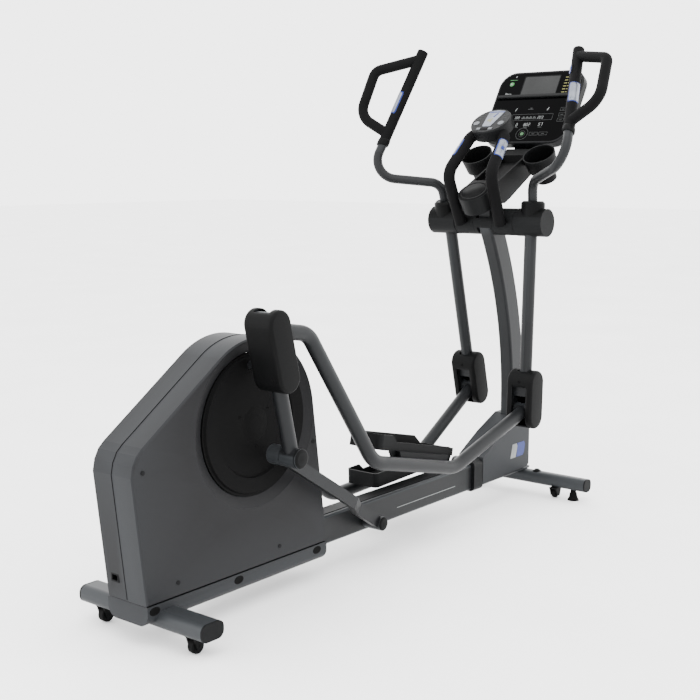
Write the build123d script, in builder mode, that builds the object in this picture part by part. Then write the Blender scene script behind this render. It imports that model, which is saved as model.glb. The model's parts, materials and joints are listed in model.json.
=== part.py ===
from build123d import *
from math import acos, atan2, cos, degrees, hypot, radians, sin, sqrt
import os

# Rear-drive elliptical trainer. Millimetres. +X points to the console, +Y to the user's left, +Z up.
# The origin is on the floor, in the middle of the machine's length and width.

# ---- linkage: pivots and link lengths, all in side view as (x, z)
CRANK = (-604, 508)
ARM_PIVOT = (651, 1002)
LINK_PIVOT = (-88, 117)
CRANK_RADIUS = 166
COUPLER_LOW = 254
COUPLER_HIGH = 106
LINK_LENGTH = 572
LEVER_LENGTH = 1352
ARM_LENGTH = 640
REST_CRANK = {"right": 99, "left": 279}
SIDES = {"right": -1, "left": 1}
PLANE_Y = 165

# ---- tubes, shafts and fits
ARM_R = 21
LEVER_R = 21.5
HANDLE_R = 16
TUBE_WALL = 2.5
SHAFT_R = 15
PIN_R = 10
FIT = 0.05

# ---- frame
RAIL_HALF = 36
RAIL_Z = (84, 172)
RAIL_X = (-905, 854)
MAST_WIDE = 50
MAST_DEEP = 80
MAST_X = 821.5
MAST_BEND_Z = 360
REAR_FOOT = (-934, 70, 76, 46, 225)
FRONT_FOOT = (882, 61, 50, 46, 280)

# ---- covers
SHROUD_HALF = 74
SHROUD_WALL = 3
SEAM_Z = 114
DISC_R = 196
RING_R = 228
SHROUD_TOP_R = 234
CASING_HALF = (115, 215)

# ---- pedals, lower links and the hubs where links meet couplers
PEDAL_Y = (22, 143.5)
PEDAL_LONG = 404
PEDAL_FLOOR = 36
PEDAL_AT = (805, -258.36)
PEDAL_TURN = 4.66
HUB_R = 27
HUB_INNER_Y = (98, 141.5)
HUB_OUTER_Y = (143.5, 200)
LINK_HALF = 17

# ---- console
CONSOLE_FOOT = (848, 1270)
CONSOLE_LEAN = 31.4
CONSOLE_SIZE = (345, 305, 50)
USER_TILT = 35

os.makedirs("parts", exist_ok=True)


def meet(c0, r0, c1, r1, turn):
    """Where two circles cross, on the side that turn picks."""
    dx, dz = c1[0] - c0[0], c1[1] - c0[1]
    d = hypot(dx, dz)
    a = (r0**2 - r1**2 + d**2) / (2 * d)
    h = turn * sqrt(r0**2 - a**2)
    return (c0[0] + (a * dx - h * dz) / d, c0[1] + (a * dz + h * dx) / d)


def linkage(crank_deg):
    """Side-view pivots of one side for a crank angle: crank pin, hub, lever rear, lever front."""
    t = radians(crank_deg)
    pin = (CRANK[0] + CRANK_RADIUS * cos(t), CRANK[1] + CRANK_RADIUS * sin(t))
    hub = meet(LINK_PIVOT, LINK_LENGTH, pin, COUPLER_LOW, 1)
    grow = COUPLER_HIGH / COUPLER_LOW
    rear = (pin[0] + grow * (pin[0] - hub[0]), pin[1] + grow * (pin[1] - hub[1]))
    front = meet(rear, LEVER_LENGTH, ARM_PIVOT, ARM_LENGTH, -1)
    return {"pin": pin, "hub": hub, "rear": rear, "front": front}


def heading(a, b):
    """Angle of the line from a to b in side view, in degrees, with +Z up."""
    return degrees(atan2(b[1] - a[1], b[0] - a[0]))


def local(origin, turn):
    """A frame at origin (x, z), turned in side view: local X forward, local Y left, local Z up."""
    t = radians(turn)
    return Plane(
        origin=(origin[0], 0, origin[1]),
        x_dir=(cos(t), 0, sin(t)),
        z_dir=(-sin(t), 0, cos(t)),
    )


def side_on(frame, y):
    """The frame's side-view plane at a given local Y. It faces the machine's right."""
    return Plane(
        origin=frame.from_local_coords(Vector(0, y, 0)),
        x_dir=frame.x_dir,
        z_dir=-frame.y_dir,
    )


def top_on(frame, z):
    """The frame's plan plane at a given local Z."""
    return Plane(
        origin=frame.from_local_coords(Vector(0, 0, z)), x_dir=frame.x_dir, z_dir=frame.z_dir
    )


WORLD = local((0, 0), 0)
POSE = {name: linkage(angle) for name, angle in REST_CRANK.items()}
CRANK_FRAME = local(CRANK, 0)
PIVOT_FRAME = local(ARM_PIVOT, 0)


# ======================================================================= floor frame
def rounded_foot(foot):
    x, z, wide, high, half = foot
    with BuildPart() as tube:
        with BuildSketch(side_on(WORLD, half)):
            with Locations((x, z)):
                RectangleRounded(wide, high, high * 0.42)
                RectangleRounded(wide - 6, high - 6, high * 0.42 - 3, mode=Mode.SUBTRACT)
        extrude(amount=2 * half)
    return tube.part


with BuildPart() as rear_foot:
    add(rounded_foot(REAR_FOOT))
rear_foot.part.label = "rear_foot"
export_step(rear_foot.part, "parts/rear_foot.step")

with BuildPart() as front_foot:
    add(rounded_foot(FRONT_FOOT))
front_foot.part.label = "front_foot"
export_step(front_foot.part, "parts/front_foot.step")

with BuildPart() as foot_end_caps:
    for x, z, wide, high, half in (REAR_FOOT, FRONT_FOOT):
        for y in (-half - 5, half):
            with BuildSketch(side_on(WORLD, y + 5)):
                with Locations((x, z)):
                    RectangleRounded(wide, high, high * 0.42)
            extrude(amount=5)
foot_end_caps.part.label = "foot_end_caps"
export_step(foot_end_caps.part, "parts/foot_end_caps.step")

BEARING_R = 26
UPRIGHT_Y = 30
UPRIGHT_T = 10
LINK_SHAFT_R = 12.5

with BuildPart() as base_rail:
    with BuildSketch(Plane.YZ.offset(RAIL_X[0])):
        with Locations((0, sum(RAIL_Z) / 2)):
            RectangleRounded(2 * RAIL_HALF, RAIL_Z[1] - RAIL_Z[0], 8)
            RectangleRounded(2 * RAIL_HALF - 6, RAIL_Z[1] - RAIL_Z[0] - 6, 5, mode=Mode.SUBTRACT)
    extrude(amount=RAIL_X[1] - RAIL_X[0])
    # saddle plate for the rear foot
    with BuildSketch(Plane.XY.offset(REAR_FOOT[1] + REAR_FOOT[3] / 2)):
        with Locations((REAR_FOOT[0] + 8, 0)):
            Rectangle(110, 2 * RAIL_HALF - 4)
    extrude(amount=8)
    with BuildSketch(side_on(WORLD, REAR_FOOT[4])):
        with Locations((REAR_FOOT[0], REAR_FOOT[1])):
            RectangleRounded(REAR_FOOT[2], REAR_FOOT[3], REAR_FOOT[3] * 0.42)
    extrude(amount=2 * REAR_FOOT[4], mode=Mode.SUBTRACT)
    # flat plate that reaches over the front foot
    with BuildSketch(Plane.XY.offset(RAIL_Z[0])):
        with Locations((FRONT_FOOT[0] - 16, 0)):
            Rectangle(82, 2 * RAIL_HALF - 10)
    extrude(amount=8)
    # two uprights carry the crank bearings
    for y in (UPRIGHT_Y, -UPRIGHT_Y):
        with BuildSketch(side_on(WORLD, y + UPRIGHT_T / 2)):
            with BuildLine():
                Polyline(
                    (CRANK[0] - 130, RAIL_Z[1]),
                    (CRANK[0] + 110, RAIL_Z[1]),
                    (CRANK[0] + 40, CRANK[1] + 42),
                    (CRANK[0] - 40, CRANK[1] + 42),
                    close=True,
                )
            make_face()
            with Locations(CRANK):
                Circle(BEARING_R, mode=Mode.SUBTRACT)
        extrude(amount=UPRIGHT_T)
    # cross shaft that carries the two lower links
    with BuildSketch(side_on(WORLD, 105)):
        with Locations(LINK_PIVOT):
            Circle(LINK_SHAFT_R)
    extrude(amount=210)
base_rail.part.label = "base_rail"
export_step(base_rail.part, "parts/base_rail.step")

with BuildPart() as rail_strip:
    with BuildSketch(Plane.XY.offset(RAIL_Z[1])):
        with Locations((95, 0)):
            Rectangle(814, 48)
    extrude(amount=2)
rail_strip.part.label = "rail_strip"
export_step(rail_strip.part, "parts/rail_strip.step")

with BuildPart() as rail_collar:
    with BuildSketch(Plane.YZ.offset(504)):
        with Locations((0, sum(RAIL_Z) / 2 + 4)):
            RectangleRounded(2 * RAIL_HALF + 26, RAIL_Z[1] - RAIL_Z[0] + 18, 16)
        with Locations((0, sum(RAIL_Z) / 2)):
            RectangleRounded(2 * RAIL_HALF, RAIL_Z[1] - RAIL_Z[0], 8, mode=Mode.SUBTRACT)
    extrude(amount=54)
rail_collar.part.label = "rail_collar"
export_step(rail_collar.part, "parts/rail_collar.step")

# ======================================================================= mast and its pivot
MAST_R = ((ARM_PIVOT[0] - MAST_X) ** 2 + (ARM_PIVOT[1] - MAST_BEND_Z) ** 2) / (
    2 * (MAST_X - ARM_PIVOT[0])
)
MAST_END = heading((MAST_X - MAST_R, MAST_BEND_Z), ARM_PIVOT)
PIVOT_TUBE_R = 30
PIVOT_HALF = 112
COVER_R = 46


def mast_point(turn):
    """Point of the mast's centre line at an angle along its bend."""
    t = radians(turn)
    return (MAST_X - MAST_R + MAST_R * cos(t), 0, MAST_BEND_Z + MAST_R * sin(t))


with BuildPart() as mast:
    with BuildLine() as mast_path:
        Line((MAST_X, 0, RAIL_Z[1]), mast_point(0))
        ThreePointArc(mast_point(0), mast_point(MAST_END / 2), mast_point(MAST_END))
    with BuildSketch(Plane.XY.offset(RAIL_Z[1])):
        with Locations((MAST_X, 0)):
            RectangleRounded(MAST_DEEP, MAST_WIDE, 9)
            RectangleRounded(MAST_DEEP - 6, MAST_WIDE - 6, 6, mode=Mode.SUBTRACT)
    sweep(path=mast_path.wires()[0])
    # stub that carries the console neck
    with BuildSketch(side_on(WORLD, 22)):
        with BuildLine():
            Polyline((622, 1000), (684, 1000), (668, 1064), (606, 1064), close=True)
        make_face()
    extrude(amount=44)
    # cross tube for the arm shaft
    with BuildSketch(side_on(PIVOT_FRAME, PIVOT_HALF)):
        Circle(PIVOT_TUBE_R)
    extrude(amount=2 * PIVOT_HALF)
    with BuildSketch(side_on(PIVOT_FRAME, PIVOT_HALF)):
        Circle(SHAFT_R)
    extrude(amount=2 * PIVOT_HALF, mode=Mode.SUBTRACT)
mast.part.label = "mast"
export_step(mast.part, "parts/mast.step")

SHAFT_HALF = 221

with BuildPart() as pivot_shaft:
    with BuildSketch(side_on(PIVOT_FRAME, SHAFT_HALF)):
        Circle(SHAFT_R)
    extrude(amount=2 * SHAFT_HALF)
    chamfer(pivot_shaft.edges().filter_by(GeomType.CIRCLE), 1.5)
pivot_shaft.part.label = "pivot_shaft"
export_step(pivot_shaft.part, "parts/pivot_shaft.step")

BAR_R = 20
BAR_FOOT = (592, 994)
BAR_POINTS = [
    (BAR_FOOT[0], -79, BAR_FOOT[1]),
    (515, -86, 1165),
    (640, -66, 1300),
    (640, 66, 1300),
    (515, 86, 1165),
    (BAR_FOOT[0], 79, BAR_FOOT[1]),
]

with BuildPart() as pivot_cover:
    for start, end in ((116, 40), (39, -34), (-35, -116)):
        with BuildSketch(side_on(PIVOT_FRAME, start)):
            Circle(COVER_R)
            Circle(PIVOT_TUBE_R, mode=Mode.SUBTRACT)
        extrude(amount=start - end)
    # window for the mast below and the neck stub above
    with BuildSketch(side_on(WORLD, 27)):
        with BuildLine():
            Polyline(
                (586, 1064), (700, 1064), (700, 1004), (756, 900), (604, 900), (612, 1002),
                close=True,
            )
        make_face()
    extrude(amount=54, mode=Mode.SUBTRACT)
    # sockets for the legs of the fixed handlebar
    for foot, knee in ((BAR_POINTS[0], BAR_POINTS[1]), (BAR_POINTS[5], BAR_POINTS[4])):
        with BuildSketch(Plane(origin=foot, z_dir=Vector(*knee) - Vector(*foot))):
            Circle(BAR_R)
        extrude(amount=90, mode=Mode.SUBTRACT)
pivot_cover.part.label = "pivot_cover"
export_step(pivot_cover.part, "parts/pivot_cover.step")

# ======================================================================= fixed handlebar and key pod
POD = (647, 1343)
POD_R = 72
POD_DEEP = 40
POD_FRAME = local(POD, USER_TILT)

with BuildPart() as fixed_handlebar:
    with BuildLine() as bar_path:
        FilletPolyline(*BAR_POINTS, radius=(55, 34, 34, 55))
    with BuildSketch(Plane(origin=bar_path.wires()[0] @ 0, z_dir=bar_path.wires()[0] % 0)):
        Circle(BAR_R)
    sweep(path=bar_path.wires()[0])
    with BuildSketch(side_on(PIVOT_FRAME, 130)):
        Circle(PIVOT_TUBE_R)
    extrude(amount=260, mode=Mode.SUBTRACT)
fixed_handlebar.part.label = "fixed_handlebar"
export_step(fixed_handlebar.part, "parts/fixed_handlebar.step")

KEY_AT = {"down": 48, "up": -48}
KEY_X = -16
KEY_R = 11
KEY_GAP = 0.4
KEY_TRAVEL = 1.5
KEY_DEEP = 6

with BuildPart() as key_pod:
    with BuildSketch(top_on(POD_FRAME, -POD_DEEP)):
        Circle(POD_R)
    extrude(amount=POD_DEEP)
    fillet(key_pod.edges().sort_by(Axis((POD[0], 0, POD[1]), POD_FRAME.z_dir))[-1], 5)
    with BuildSketch(top_on(POD_FRAME, 0)):
        with Locations([(KEY_X, y) for y in KEY_AT.values()]):
            Circle(KEY_R + KEY_GAP)
    extrude(amount=-KEY_DEEP - KEY_TRAVEL - 0.5, mode=Mode.SUBTRACT)
    # the top run of the handlebar passes through it
    add(fixed_handlebar.part, mode=Mode.SUBTRACT)
key_pod.part.label = "key_pod"
export_step(key_pod.part, "parts/key_pod.step")

for way, y in KEY_AT.items():
    with BuildPart() as level_key:
        with BuildSketch(top_on(POD_FRAME, -KEY_DEEP)):
            with Locations((KEY_X, y)):
                Circle(KEY_R)
        extrude(amount=KEY_DEEP + 2)
        chamfer(level_key.edges().filter_by(GeomType.CIRCLE).sort_by(Axis.Z)[-1], 1)
    level_key.part.label = f"level_key_{way}"
    export_step(level_key.part, f"parts/level_key_{way}.step")

# ======================================================================= console
t = radians(CONSOLE_LEAN)
CONSOLE_UP = Vector(sin(t), 0, cos(t))
CONSOLE_OUT = Vector(-cos(t), 0, sin(t))
WIDE, TALL, DEEP = CONSOLE_SIZE
CONSOLE_MID = Vector(CONSOLE_FOOT[0], 0, CONSOLE_FOOT[1]) + CONSOLE_UP * (TALL / 2)
# local X runs to the machine's right, local Y up the face, local Z towards the user
CONSOLE = Plane(origin=CONSOLE_MID, x_dir=(0, -1, 0), z_dir=CONSOLE_OUT)
LEDGE_Y = 36
START_AT = (-118, 98)
START_R = 9

with BuildPart() as console_housing:
    with BuildSketch(CONSOLE.offset(-DEEP)):
        RectangleRounded(WIDE - 26, TALL - 26, 50)
    with BuildSketch(CONSOLE.offset(-DEEP + 20)):
        RectangleRounded(WIDE, TALL, 62)
    loft()
    with BuildSketch(CONSOLE.offset(-DEEP + 20)):
        RectangleRounded(WIDE, TALL, 62)
    extrude(amount=DEEP - 20)
    fillet(
        console_housing.edges().group_by(Axis(CONSOLE_MID, CONSOLE_OUT))[-1], 4
    )
    # recess for the face panel
    with BuildSketch(CONSOLE):
        RectangleRounded(WIDE - 18, TALL - 18, 54)
    extrude(amount=-3, mode=Mode.SUBTRACT)
    # well for the start button
    with BuildSketch(CONSOLE):
        with Locations(START_AT):
            Circle(START_R + KEY_GAP)
    extrude(amount=-14, mode=Mode.SUBTRACT)
console_housing.part.label = "console_housing"
export_step(console_housing.part, "parts/console_housing.step")

with BuildPart() as console_face:
    with BuildSketch(CONSOLE.offset(-3)):
        RectangleRounded(WIDE - 18, TALL - 18, 54)
        with Locations(START_AT):
            Circle(START_R + KEY_GAP, mode=Mode.SUBTRACT)
    extrude(amount=4)
console_face.part.label = "console_face"
export_step(console_face.part, "parts/console_face.step")

with BuildPart() as console_ledge:
    with BuildSketch(Plane(origin=CONSOLE.from_local_coords((-WIDE / 2 + 12, LEDGE_Y, 1)),
                           x_dir=CONSOLE_UP, z_dir=(0, -1, 0))):
        with BuildLine():
            Polyline((0, 0), (0, 8), (3, 10), (11, 9), (11, 0), close=True)
        make_face()
    extrude(amount=WIDE - 24)
console_ledge.part.label = "console_ledge"
export_step(console_ledge.part, "parts/console_ledge.step")

with BuildPart() as start_button:
    with BuildSketch(CONSOLE.offset(-8)):
        with Locations(START_AT):
            Circle(START_R)
    extrude(amount=12)
    chamfer(
        start_button.edges().filter_by(GeomType.CIRCLE).sort_by(Axis(CONSOLE_MID, CONSOLE_OUT))[-1],
        1,
    )
start_button.part.label = "start_button"
export_step(start_button.part, "parts/start_button.step")

DRUM = (548, 1106)
DRUM_R = 56
DRUM_FRAME = local(DRUM, USER_TILT)
NECK_HALF = 54

with BuildPart() as console_neck:
    with BuildSketch(side_on(WORLD, NECK_HALF)):
        with BuildLine():
            Polyline(
                (566, 1098), (586, 1124), (846, 1250), (886, 1249), (962, 1300), (940, 1222),
                (690, 1078), (660, 1064), (600, 1064),
                close=True,
            )
        make_face()
    extrude(amount=2 * NECK_HALF)
    # drum at the rear end
    with BuildSketch(top_on(DRUM_FRAME, -62)):
        Circle(DRUM_R)
    extrude(amount=62)
    # tray that runs up the neck
    with BuildSketch(side_on(WORLD, NECK_HALF - 7)):
        with BuildLine():
            Polyline((622, 1116), (622, 1170), (800, 1256), (800, 1202), close=True)
        make_face()
    extrude(amount=2 * NECK_HALF - 14, mode=Mode.SUBTRACT)
    # bed of the console housing
    with BuildSketch(CONSOLE.offset(-DEEP)):
        RectangleRounded(WIDE, TALL, 50)
    extrude(amount=DEEP + 10, mode=Mode.SUBTRACT)
    with BuildSketch(side_on(PIVOT_FRAME, NECK_HALF + 8)):
        Circle(COVER_R)
    extrude(amount=2 * NECK_HALF + 16, mode=Mode.SUBTRACT)
    # room for the stub
    with BuildSketch(side_on(WORLD, 22)):
        with BuildLine():
            Polyline((622, 1000), (684, 1000), (668, 1064), (606, 1064), close=True)
        make_face()
    extrude(amount=44, mode=Mode.SUBTRACT)
console_neck.part.label = "console_neck"
export_step(console_neck.part, "parts/console_neck.step")

CUP = (757, 1231)
CUP_Y = 126
CUP_R = 53
CUP_FRAME = local(CUP, USER_TILT)

with BuildPart() as cup_holders:
    for y in (-CUP_Y, CUP_Y):
        inward = -1 if y > 0 else 1
        with BuildSketch(top_on(CUP_FRAME, 0)):
            with Locations((0, y)):
                Circle(CUP_R + 4)
        with BuildSketch(top_on(CUP_FRAME, -56)):
            with Locations((0, y)):
                Circle(CUP_R - 2)
        loft()
        with BuildSketch(top_on(CUP_FRAME, -56)):
            with Locations((0, y)):
                Circle(CUP_R - 2)
        with BuildSketch(top_on(CUP_FRAME, -68)):
            with Locations((0, y)):
                Circle(36)
        loft()
        with BuildSketch(top_on(CUP_FRAME, -104)):
            with Locations((0, y)):
                Circle(36)
        extrude(amount=36)
        # arm that holds the cup to the neck
        with BuildSketch(top_on(CUP_FRAME, -52)):
            with Locations((22, y + inward * 62)):
                Rectangle(34, 44)
        extrude(amount=26)
        with BuildSketch(side_on(WORLD, NECK_HALF)):
            with Locations((760, 1200)):
                Rectangle(300, 300)
        extrude(amount=2 * NECK_HALF, mode=Mode.SUBTRACT)
        with BuildSketch(top_on(CUP_FRAME, 0)):
            with Locations((0, y)):
                Circle(CUP_R)
        with BuildSketch(top_on(CUP_FRAME, -53)):
            with Locations((0, y)):
                Circle(CUP_R - 5.5)
        loft(mode=Mode.SUBTRACT)
        with BuildSketch(top_on(CUP_FRAME, -53)):
            with Locations((0, y)):
                Circle(32.5)
        extrude(amount=-47, mode=Mode.SUBTRACT)
cup_holders.part.label = "cup_holders"
export_step(cup_holders.part, "parts/cup_holders.step")


# ======================================================================= rear shroud
def touch(point, radius, turn):
    """Angle on a circle round the crank where a straight line from point touches it."""
    dx, dz = point[0] - CRANK[0], point[1] - CRANK[1]
    return degrees(atan2(dz, dx) + turn * acos(radius / hypot(dx, dz)))


def shroud_outline(inset):
    """Side view of the shroud, shrunk by inset."""
    radius = SHROUD_TOP_R - inset
    heel = (-1005.7 + inset * 0.565, 515.3 - inset * 0.825)
    bend = (-1024 + inset * 0.76, 499 - inset * 0.65)
    hip = (-1037 + inset * 0.94, 475 - inset * 0.34)
    back = (-1043 + inset, 446)
    shin = (-324 - inset, 186)
    start = touch(shin, radius, 1)
    end = touch(heel, radius, -1)
    with BuildSketch(side_on(WORLD, 0)) as outline:
        with BuildLine():
            crown = CenterArc(CRANK, radius, start, end - start)
            Line(crown @ 1, heel)
            Line(heel, bend)
            Line(bend, hip)
            Line(hip, back)
            Line(back, (-1004 + inset, SEAM_Z))
            Line((-1004 + inset, SEAM_Z), (-320 - inset, SEAM_Z))
            Line((-320 - inset, SEAM_Z), shin)
            Line(shin, crown @ 0)
        make_face()
    return outline.sketch


def shroud_half(hand):
    """One half shell of the shroud, with the ring that leads down to the crank disc."""
    with BuildPart() as half:
        extrude(shroud_outline(0), amount=-hand * SHROUD_HALF)
        outer = half.faces().sort_by(Axis.Y)[-1 if hand > 0 else 0]
        chamfer(outer.edges(), 4)
        hollow = -hand * (SHROUD_HALF - SHROUD_WALL)
        extrude(shroud_outline(SHROUD_WALL), amount=hollow, mode=Mode.SUBTRACT)
        with BuildSketch(side_on(WORLD, 0)):
            with Locations(CRANK):
                Circle(RING_R - 1)
        extrude(amount=-hand * (SHROUD_HALF + 1), mode=Mode.SUBTRACT)
        # the rail leaves through the front
        with BuildSketch(Plane.YZ.offset(-330)):
            with Locations((0, (SEAM_Z + RAIL_Z[1]) / 2 - 5)):
                Rectangle(2 * RAIL_HALF, RAIL_Z[1] - SEAM_Z + 10)
        extrude(amount=30, mode=Mode.SUBTRACT)
        # the dished ring
        with BuildSketch(Plane(origin=(CRANK[0], 0, CRANK[1]), x_dir=(0, 0, 1), z_dir=(-1, 0, 0))):
            with BuildLine():
                Polyline(
                    (DISC_R + 1.2, hand * 58),
                    (DISC_R + 1.2, hand * 61),
                    (RING_R, hand * SHROUD_HALF),
                    (RING_R, hand * (SHROUD_HALF - SHROUD_WALL)),
                    (DISC_R + 3.2, hand * 58),
                    close=True,
                )
            make_face()
        revolve(axis=Axis((CRANK[0], 0, CRANK[1]), (0, 1, 0)))
    return half.part


for name, hand in SIDES.items():
    with BuildPart() as shroud:
        add(shroud_half(hand))
        # hole for the power inlet, low in the rear face of the left half
        if name == "left":
            with BuildSketch(Plane.YZ.offset(-1060)):
                with Locations((36, 170)):
                    Rectangle(28, 22)
            extrude(amount=90, mode=Mode.SUBTRACT)
    shroud.part.label = f"shroud_{name}"
    export_step(shroud.part, f"parts/shroud_{name}.step")

with BuildPart() as shroud_base:
    with BuildSketch(Plane.YZ.offset(-1004)):
        with BuildLine():
            FilletPolyline(
                (-SHROUD_HALF, SEAM_Z - 1),
                (-SHROUD_HALF, 60),
                (SHROUD_HALF, 60),
                (SHROUD_HALF, SEAM_Z - 1),
                radius=30,
            )
            Line((SHROUD_HALF, SEAM_Z - 1), (-SHROUD_HALF, SEAM_Z - 1))
        make_face()
    extrude(amount=686)
    with BuildSketch(Plane.YZ.offset(-1001)):
        with BuildLine():
            FilletPolyline(
                (-SHROUD_HALF + 3, SEAM_Z),
                (-SHROUD_HALF + 3, 63),
                (SHROUD_HALF - 3, 63),
                (SHROUD_HALF - 3, SEAM_Z),
                radius=27,
            )
            Line((SHROUD_HALF - 3, SEAM_Z), (-SHROUD_HALF + 3, SEAM_Z))
        make_face()
    extrude(amount=680, mode=Mode.SUBTRACT)
    # the rail leaves through the front
    with BuildSketch(Plane.YZ.offset(-330)):
        with Locations((0, 100)):
            Rectangle(2 * RAIL_HALF, 32)
    extrude(amount=30, mode=Mode.SUBTRACT)
    # the rear foot passes under it
    with BuildSketch(side_on(WORLD, 100)):
        with Locations((REAR_FOOT[0], REAR_FOOT[1])):
            RectangleRounded(REAR_FOOT[2], REAR_FOOT[3], REAR_FOOT[3] * 0.42)
        with Locations((REAR_FOOT[0], REAR_FOOT[1] - 20)):
            Rectangle(REAR_FOOT[2], 26)
    extrude(amount=200, mode=Mode.SUBTRACT)
shroud_base.part.label = "shroud_base"
export_step(shroud_base.part, "parts/shroud_base.step")

# ======================================================================= front fairing
FAIRING_HALF = 50


def fairing_outline(inset):
    """Side view of the fairing, shrunk by inset except at its open bottom."""
    with BuildSketch(side_on(WORLD, 0)) as outline:
        with BuildLine():
            Polyline(
                (558 + inset, 102),
                (558 + inset, 190 - inset),
                (600 + inset, 214 - inset),
                (674 + inset, 254 - inset),
                (790, 304 - inset),
                (852 - inset, 304 - inset),
                (868 - inset, 276 - inset),
                (868 - inset, 112),
                (858 - inset, 102),
                close=True,
            )
        make_face()
    return outline.sketch


for name, hand in SIDES.items():
    with BuildPart() as fairing:
        extrude(fairing_outline(0), amount=-hand * FAIRING_HALF)
        extrude(fairing_outline(3), amount=-hand * (FAIRING_HALF - 3), mode=Mode.SUBTRACT)
        with BuildSketch(Plane.YZ.offset(540)):
            with Locations((0, 132)):
                Rectangle(2 * RAIL_HALF + 1, 81)
        extrude(amount=30, mode=Mode.SUBTRACT)
        # the mast leaves through the top
        with BuildSketch(Plane.XY.offset(240)):
            with Locations((MAST_X, 0)):
                RectangleRounded(MAST_DEEP + 1, MAST_WIDE + 1, 9)
        extrude(amount=80, mode=Mode.SUBTRACT)
        # the plate to the front foot leaves through the front
        with BuildSketch(Plane.YZ.offset(850)):
            with Locations((0, 96)):
                Rectangle(2 * RAIL_HALF, 20)
        extrude(amount=30, mode=Mode.SUBTRACT)
    fairing.part.label = f"fairing_{name}"
    export_step(fairing.part, f"parts/fairing_{name}.step")

# ======================================================================= crank and drive train
DISC_Y = (60, 66)
CRANK_SHAFT_R = 12.5

with BuildPart() as crankshaft:
    with BuildSketch(side_on(CRANK_FRAME, DISC_Y[1])):
        Circle(CRANK_SHAFT_R - FIT)
    extrude(amount=2 * DISC_Y[1])
crankshaft.part.label = "crankshaft"
export_step(crankshaft.part, "parts/crankshaft.step")

with BuildPart() as crank_discs:
    for hand in SIDES.values():
        with BuildSketch(side_on(CRANK_FRAME, hand * DISC_Y[0])):
            Circle(DISC_R)
            Circle(CRANK_SHAFT_R - FIT, mode=Mode.SUBTRACT)
        extrude(amount=-hand * (DISC_Y[1] - DISC_Y[0]))
        # raised band that the crank pin runs on
        with BuildSketch(side_on(CRANK_FRAME, hand * DISC_Y[1])):
            Circle(CRANK_RADIUS + 24)
            Circle(CRANK_RADIUS - 24, mode=Mode.SUBTRACT)
        extrude(amount=-hand * 6, taper=30)
        with BuildSketch(side_on(CRANK_FRAME, hand * 46)):
            Circle(34)
            Circle(CRANK_SHAFT_R - FIT, mode=Mode.SUBTRACT)
        extrude(amount=-hand * 14)
crank_discs.part.label = "crank_discs"
export_step(crank_discs.part, "parts/crank_discs.step")

PULLEY_R = 150
STEP_AT = (-806, 420)
STEP_SMALL_R = 24
STEP_BIG_R = 72
GENERATOR_AT = (-900, 268)
WHEEL_SMALL_R = 20
FLYWHEEL_R = 84
BELT_T = 3
BELT_WIDE = 12


def pulley(frame, radius, y, wide, hole):
    """A flanged belt pulley, its middle at y."""
    with BuildPart() as wheel:
        with BuildSketch(side_on(frame, y + wide / 2)):
            Circle(radius)
            if hole:
                Circle(hole, mode=Mode.SUBTRACT)
        extrude(amount=wide)
        for edge in (y + wide / 2 + 1.5, y - wide / 2):
            with BuildSketch(side_on(frame, edge)):
                Circle(radius + 5)
                if hole:
                    Circle(hole, mode=Mode.SUBTRACT)
            extrude(amount=1.5)
    return wheel.part


STEP_FRAME = local(STEP_AT, 0)
GENERATOR_FRAME = local(GENERATOR_AT, 0)
BELT_ONE_Y = 12
BELT_TWO_Y = -8

with BuildPart() as drive_pulley:
    add(pulley(CRANK_FRAME, PULLEY_R, BELT_ONE_Y, BELT_WIDE + 2, CRANK_SHAFT_R - FIT))
    with BuildSketch(side_on(CRANK_FRAME, BELT_ONE_Y + 12)):
        with PolarLocations(92, 5):
            Circle(34)
    extrude(amount=24, mode=Mode.SUBTRACT)
drive_pulley.part.label = "drive_pulley"
export_step(drive_pulley.part, "parts/drive_pulley.step")

AXLE_R = 8
BRACKET_Y = 52

with BuildPart() as step_pulley:
    add(pulley(STEP_FRAME, STEP_SMALL_R, BELT_ONE_Y, BELT_WIDE + 2, AXLE_R + FIT))
    add(pulley(STEP_FRAME, STEP_BIG_R, BELT_TWO_Y, BELT_WIDE + 2, AXLE_R + FIT))
    with BuildSketch(side_on(STEP_FRAME, BELT_ONE_Y)):
        Circle(16)
        Circle(AXLE_R + FIT, mode=Mode.SUBTRACT)
    extrude(amount=BELT_ONE_Y - BELT_TWO_Y)
step_pulley.part.label = "step_pulley"
export_step(step_pulley.part, "parts/step_pulley.step")

with BuildPart() as generator_rotor:
    add(pulley(GENERATOR_FRAME, WHEEL_SMALL_R, BELT_TWO_Y, BELT_WIDE + 2, AXLE_R + FIT))
    with BuildSketch(side_on(GENERATOR_FRAME, BELT_TWO_Y - 12)):
        Circle(FLYWHEEL_R)
        Circle(FLYWHEEL_R - 18, mode=Mode.SUBTRACT)
    extrude(amount=30)
    with BuildSketch(side_on(GENERATOR_FRAME, BELT_TWO_Y - 7.5)):
        Circle(FLYWHEEL_R - 17)
        Circle(AXLE_R + FIT, mode=Mode.SUBTRACT)
    extrude(amount=13)
generator_rotor.part.label = "generator_rotor"
export_step(generator_rotor.part, "parts/generator_rotor.step")


def belt(a, ra, b, rb, y):
    """A flat belt round two pulleys, a hair clear of both."""
    gap = 0.3
    with BuildPart() as loop:
        for grow, mode in ((gap + BELT_T, Mode.ADD), (gap, Mode.SUBTRACT)):
            with BuildSketch(side_on(WORLD, y + BELT_WIDE / 2)):
                with Locations(a):
                    Circle(ra + grow)
                with Locations(b):
                    Circle(rb + grow)
                make_hull()
            extrude(amount=BELT_WIDE, mode=mode)
    return loop.part


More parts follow.
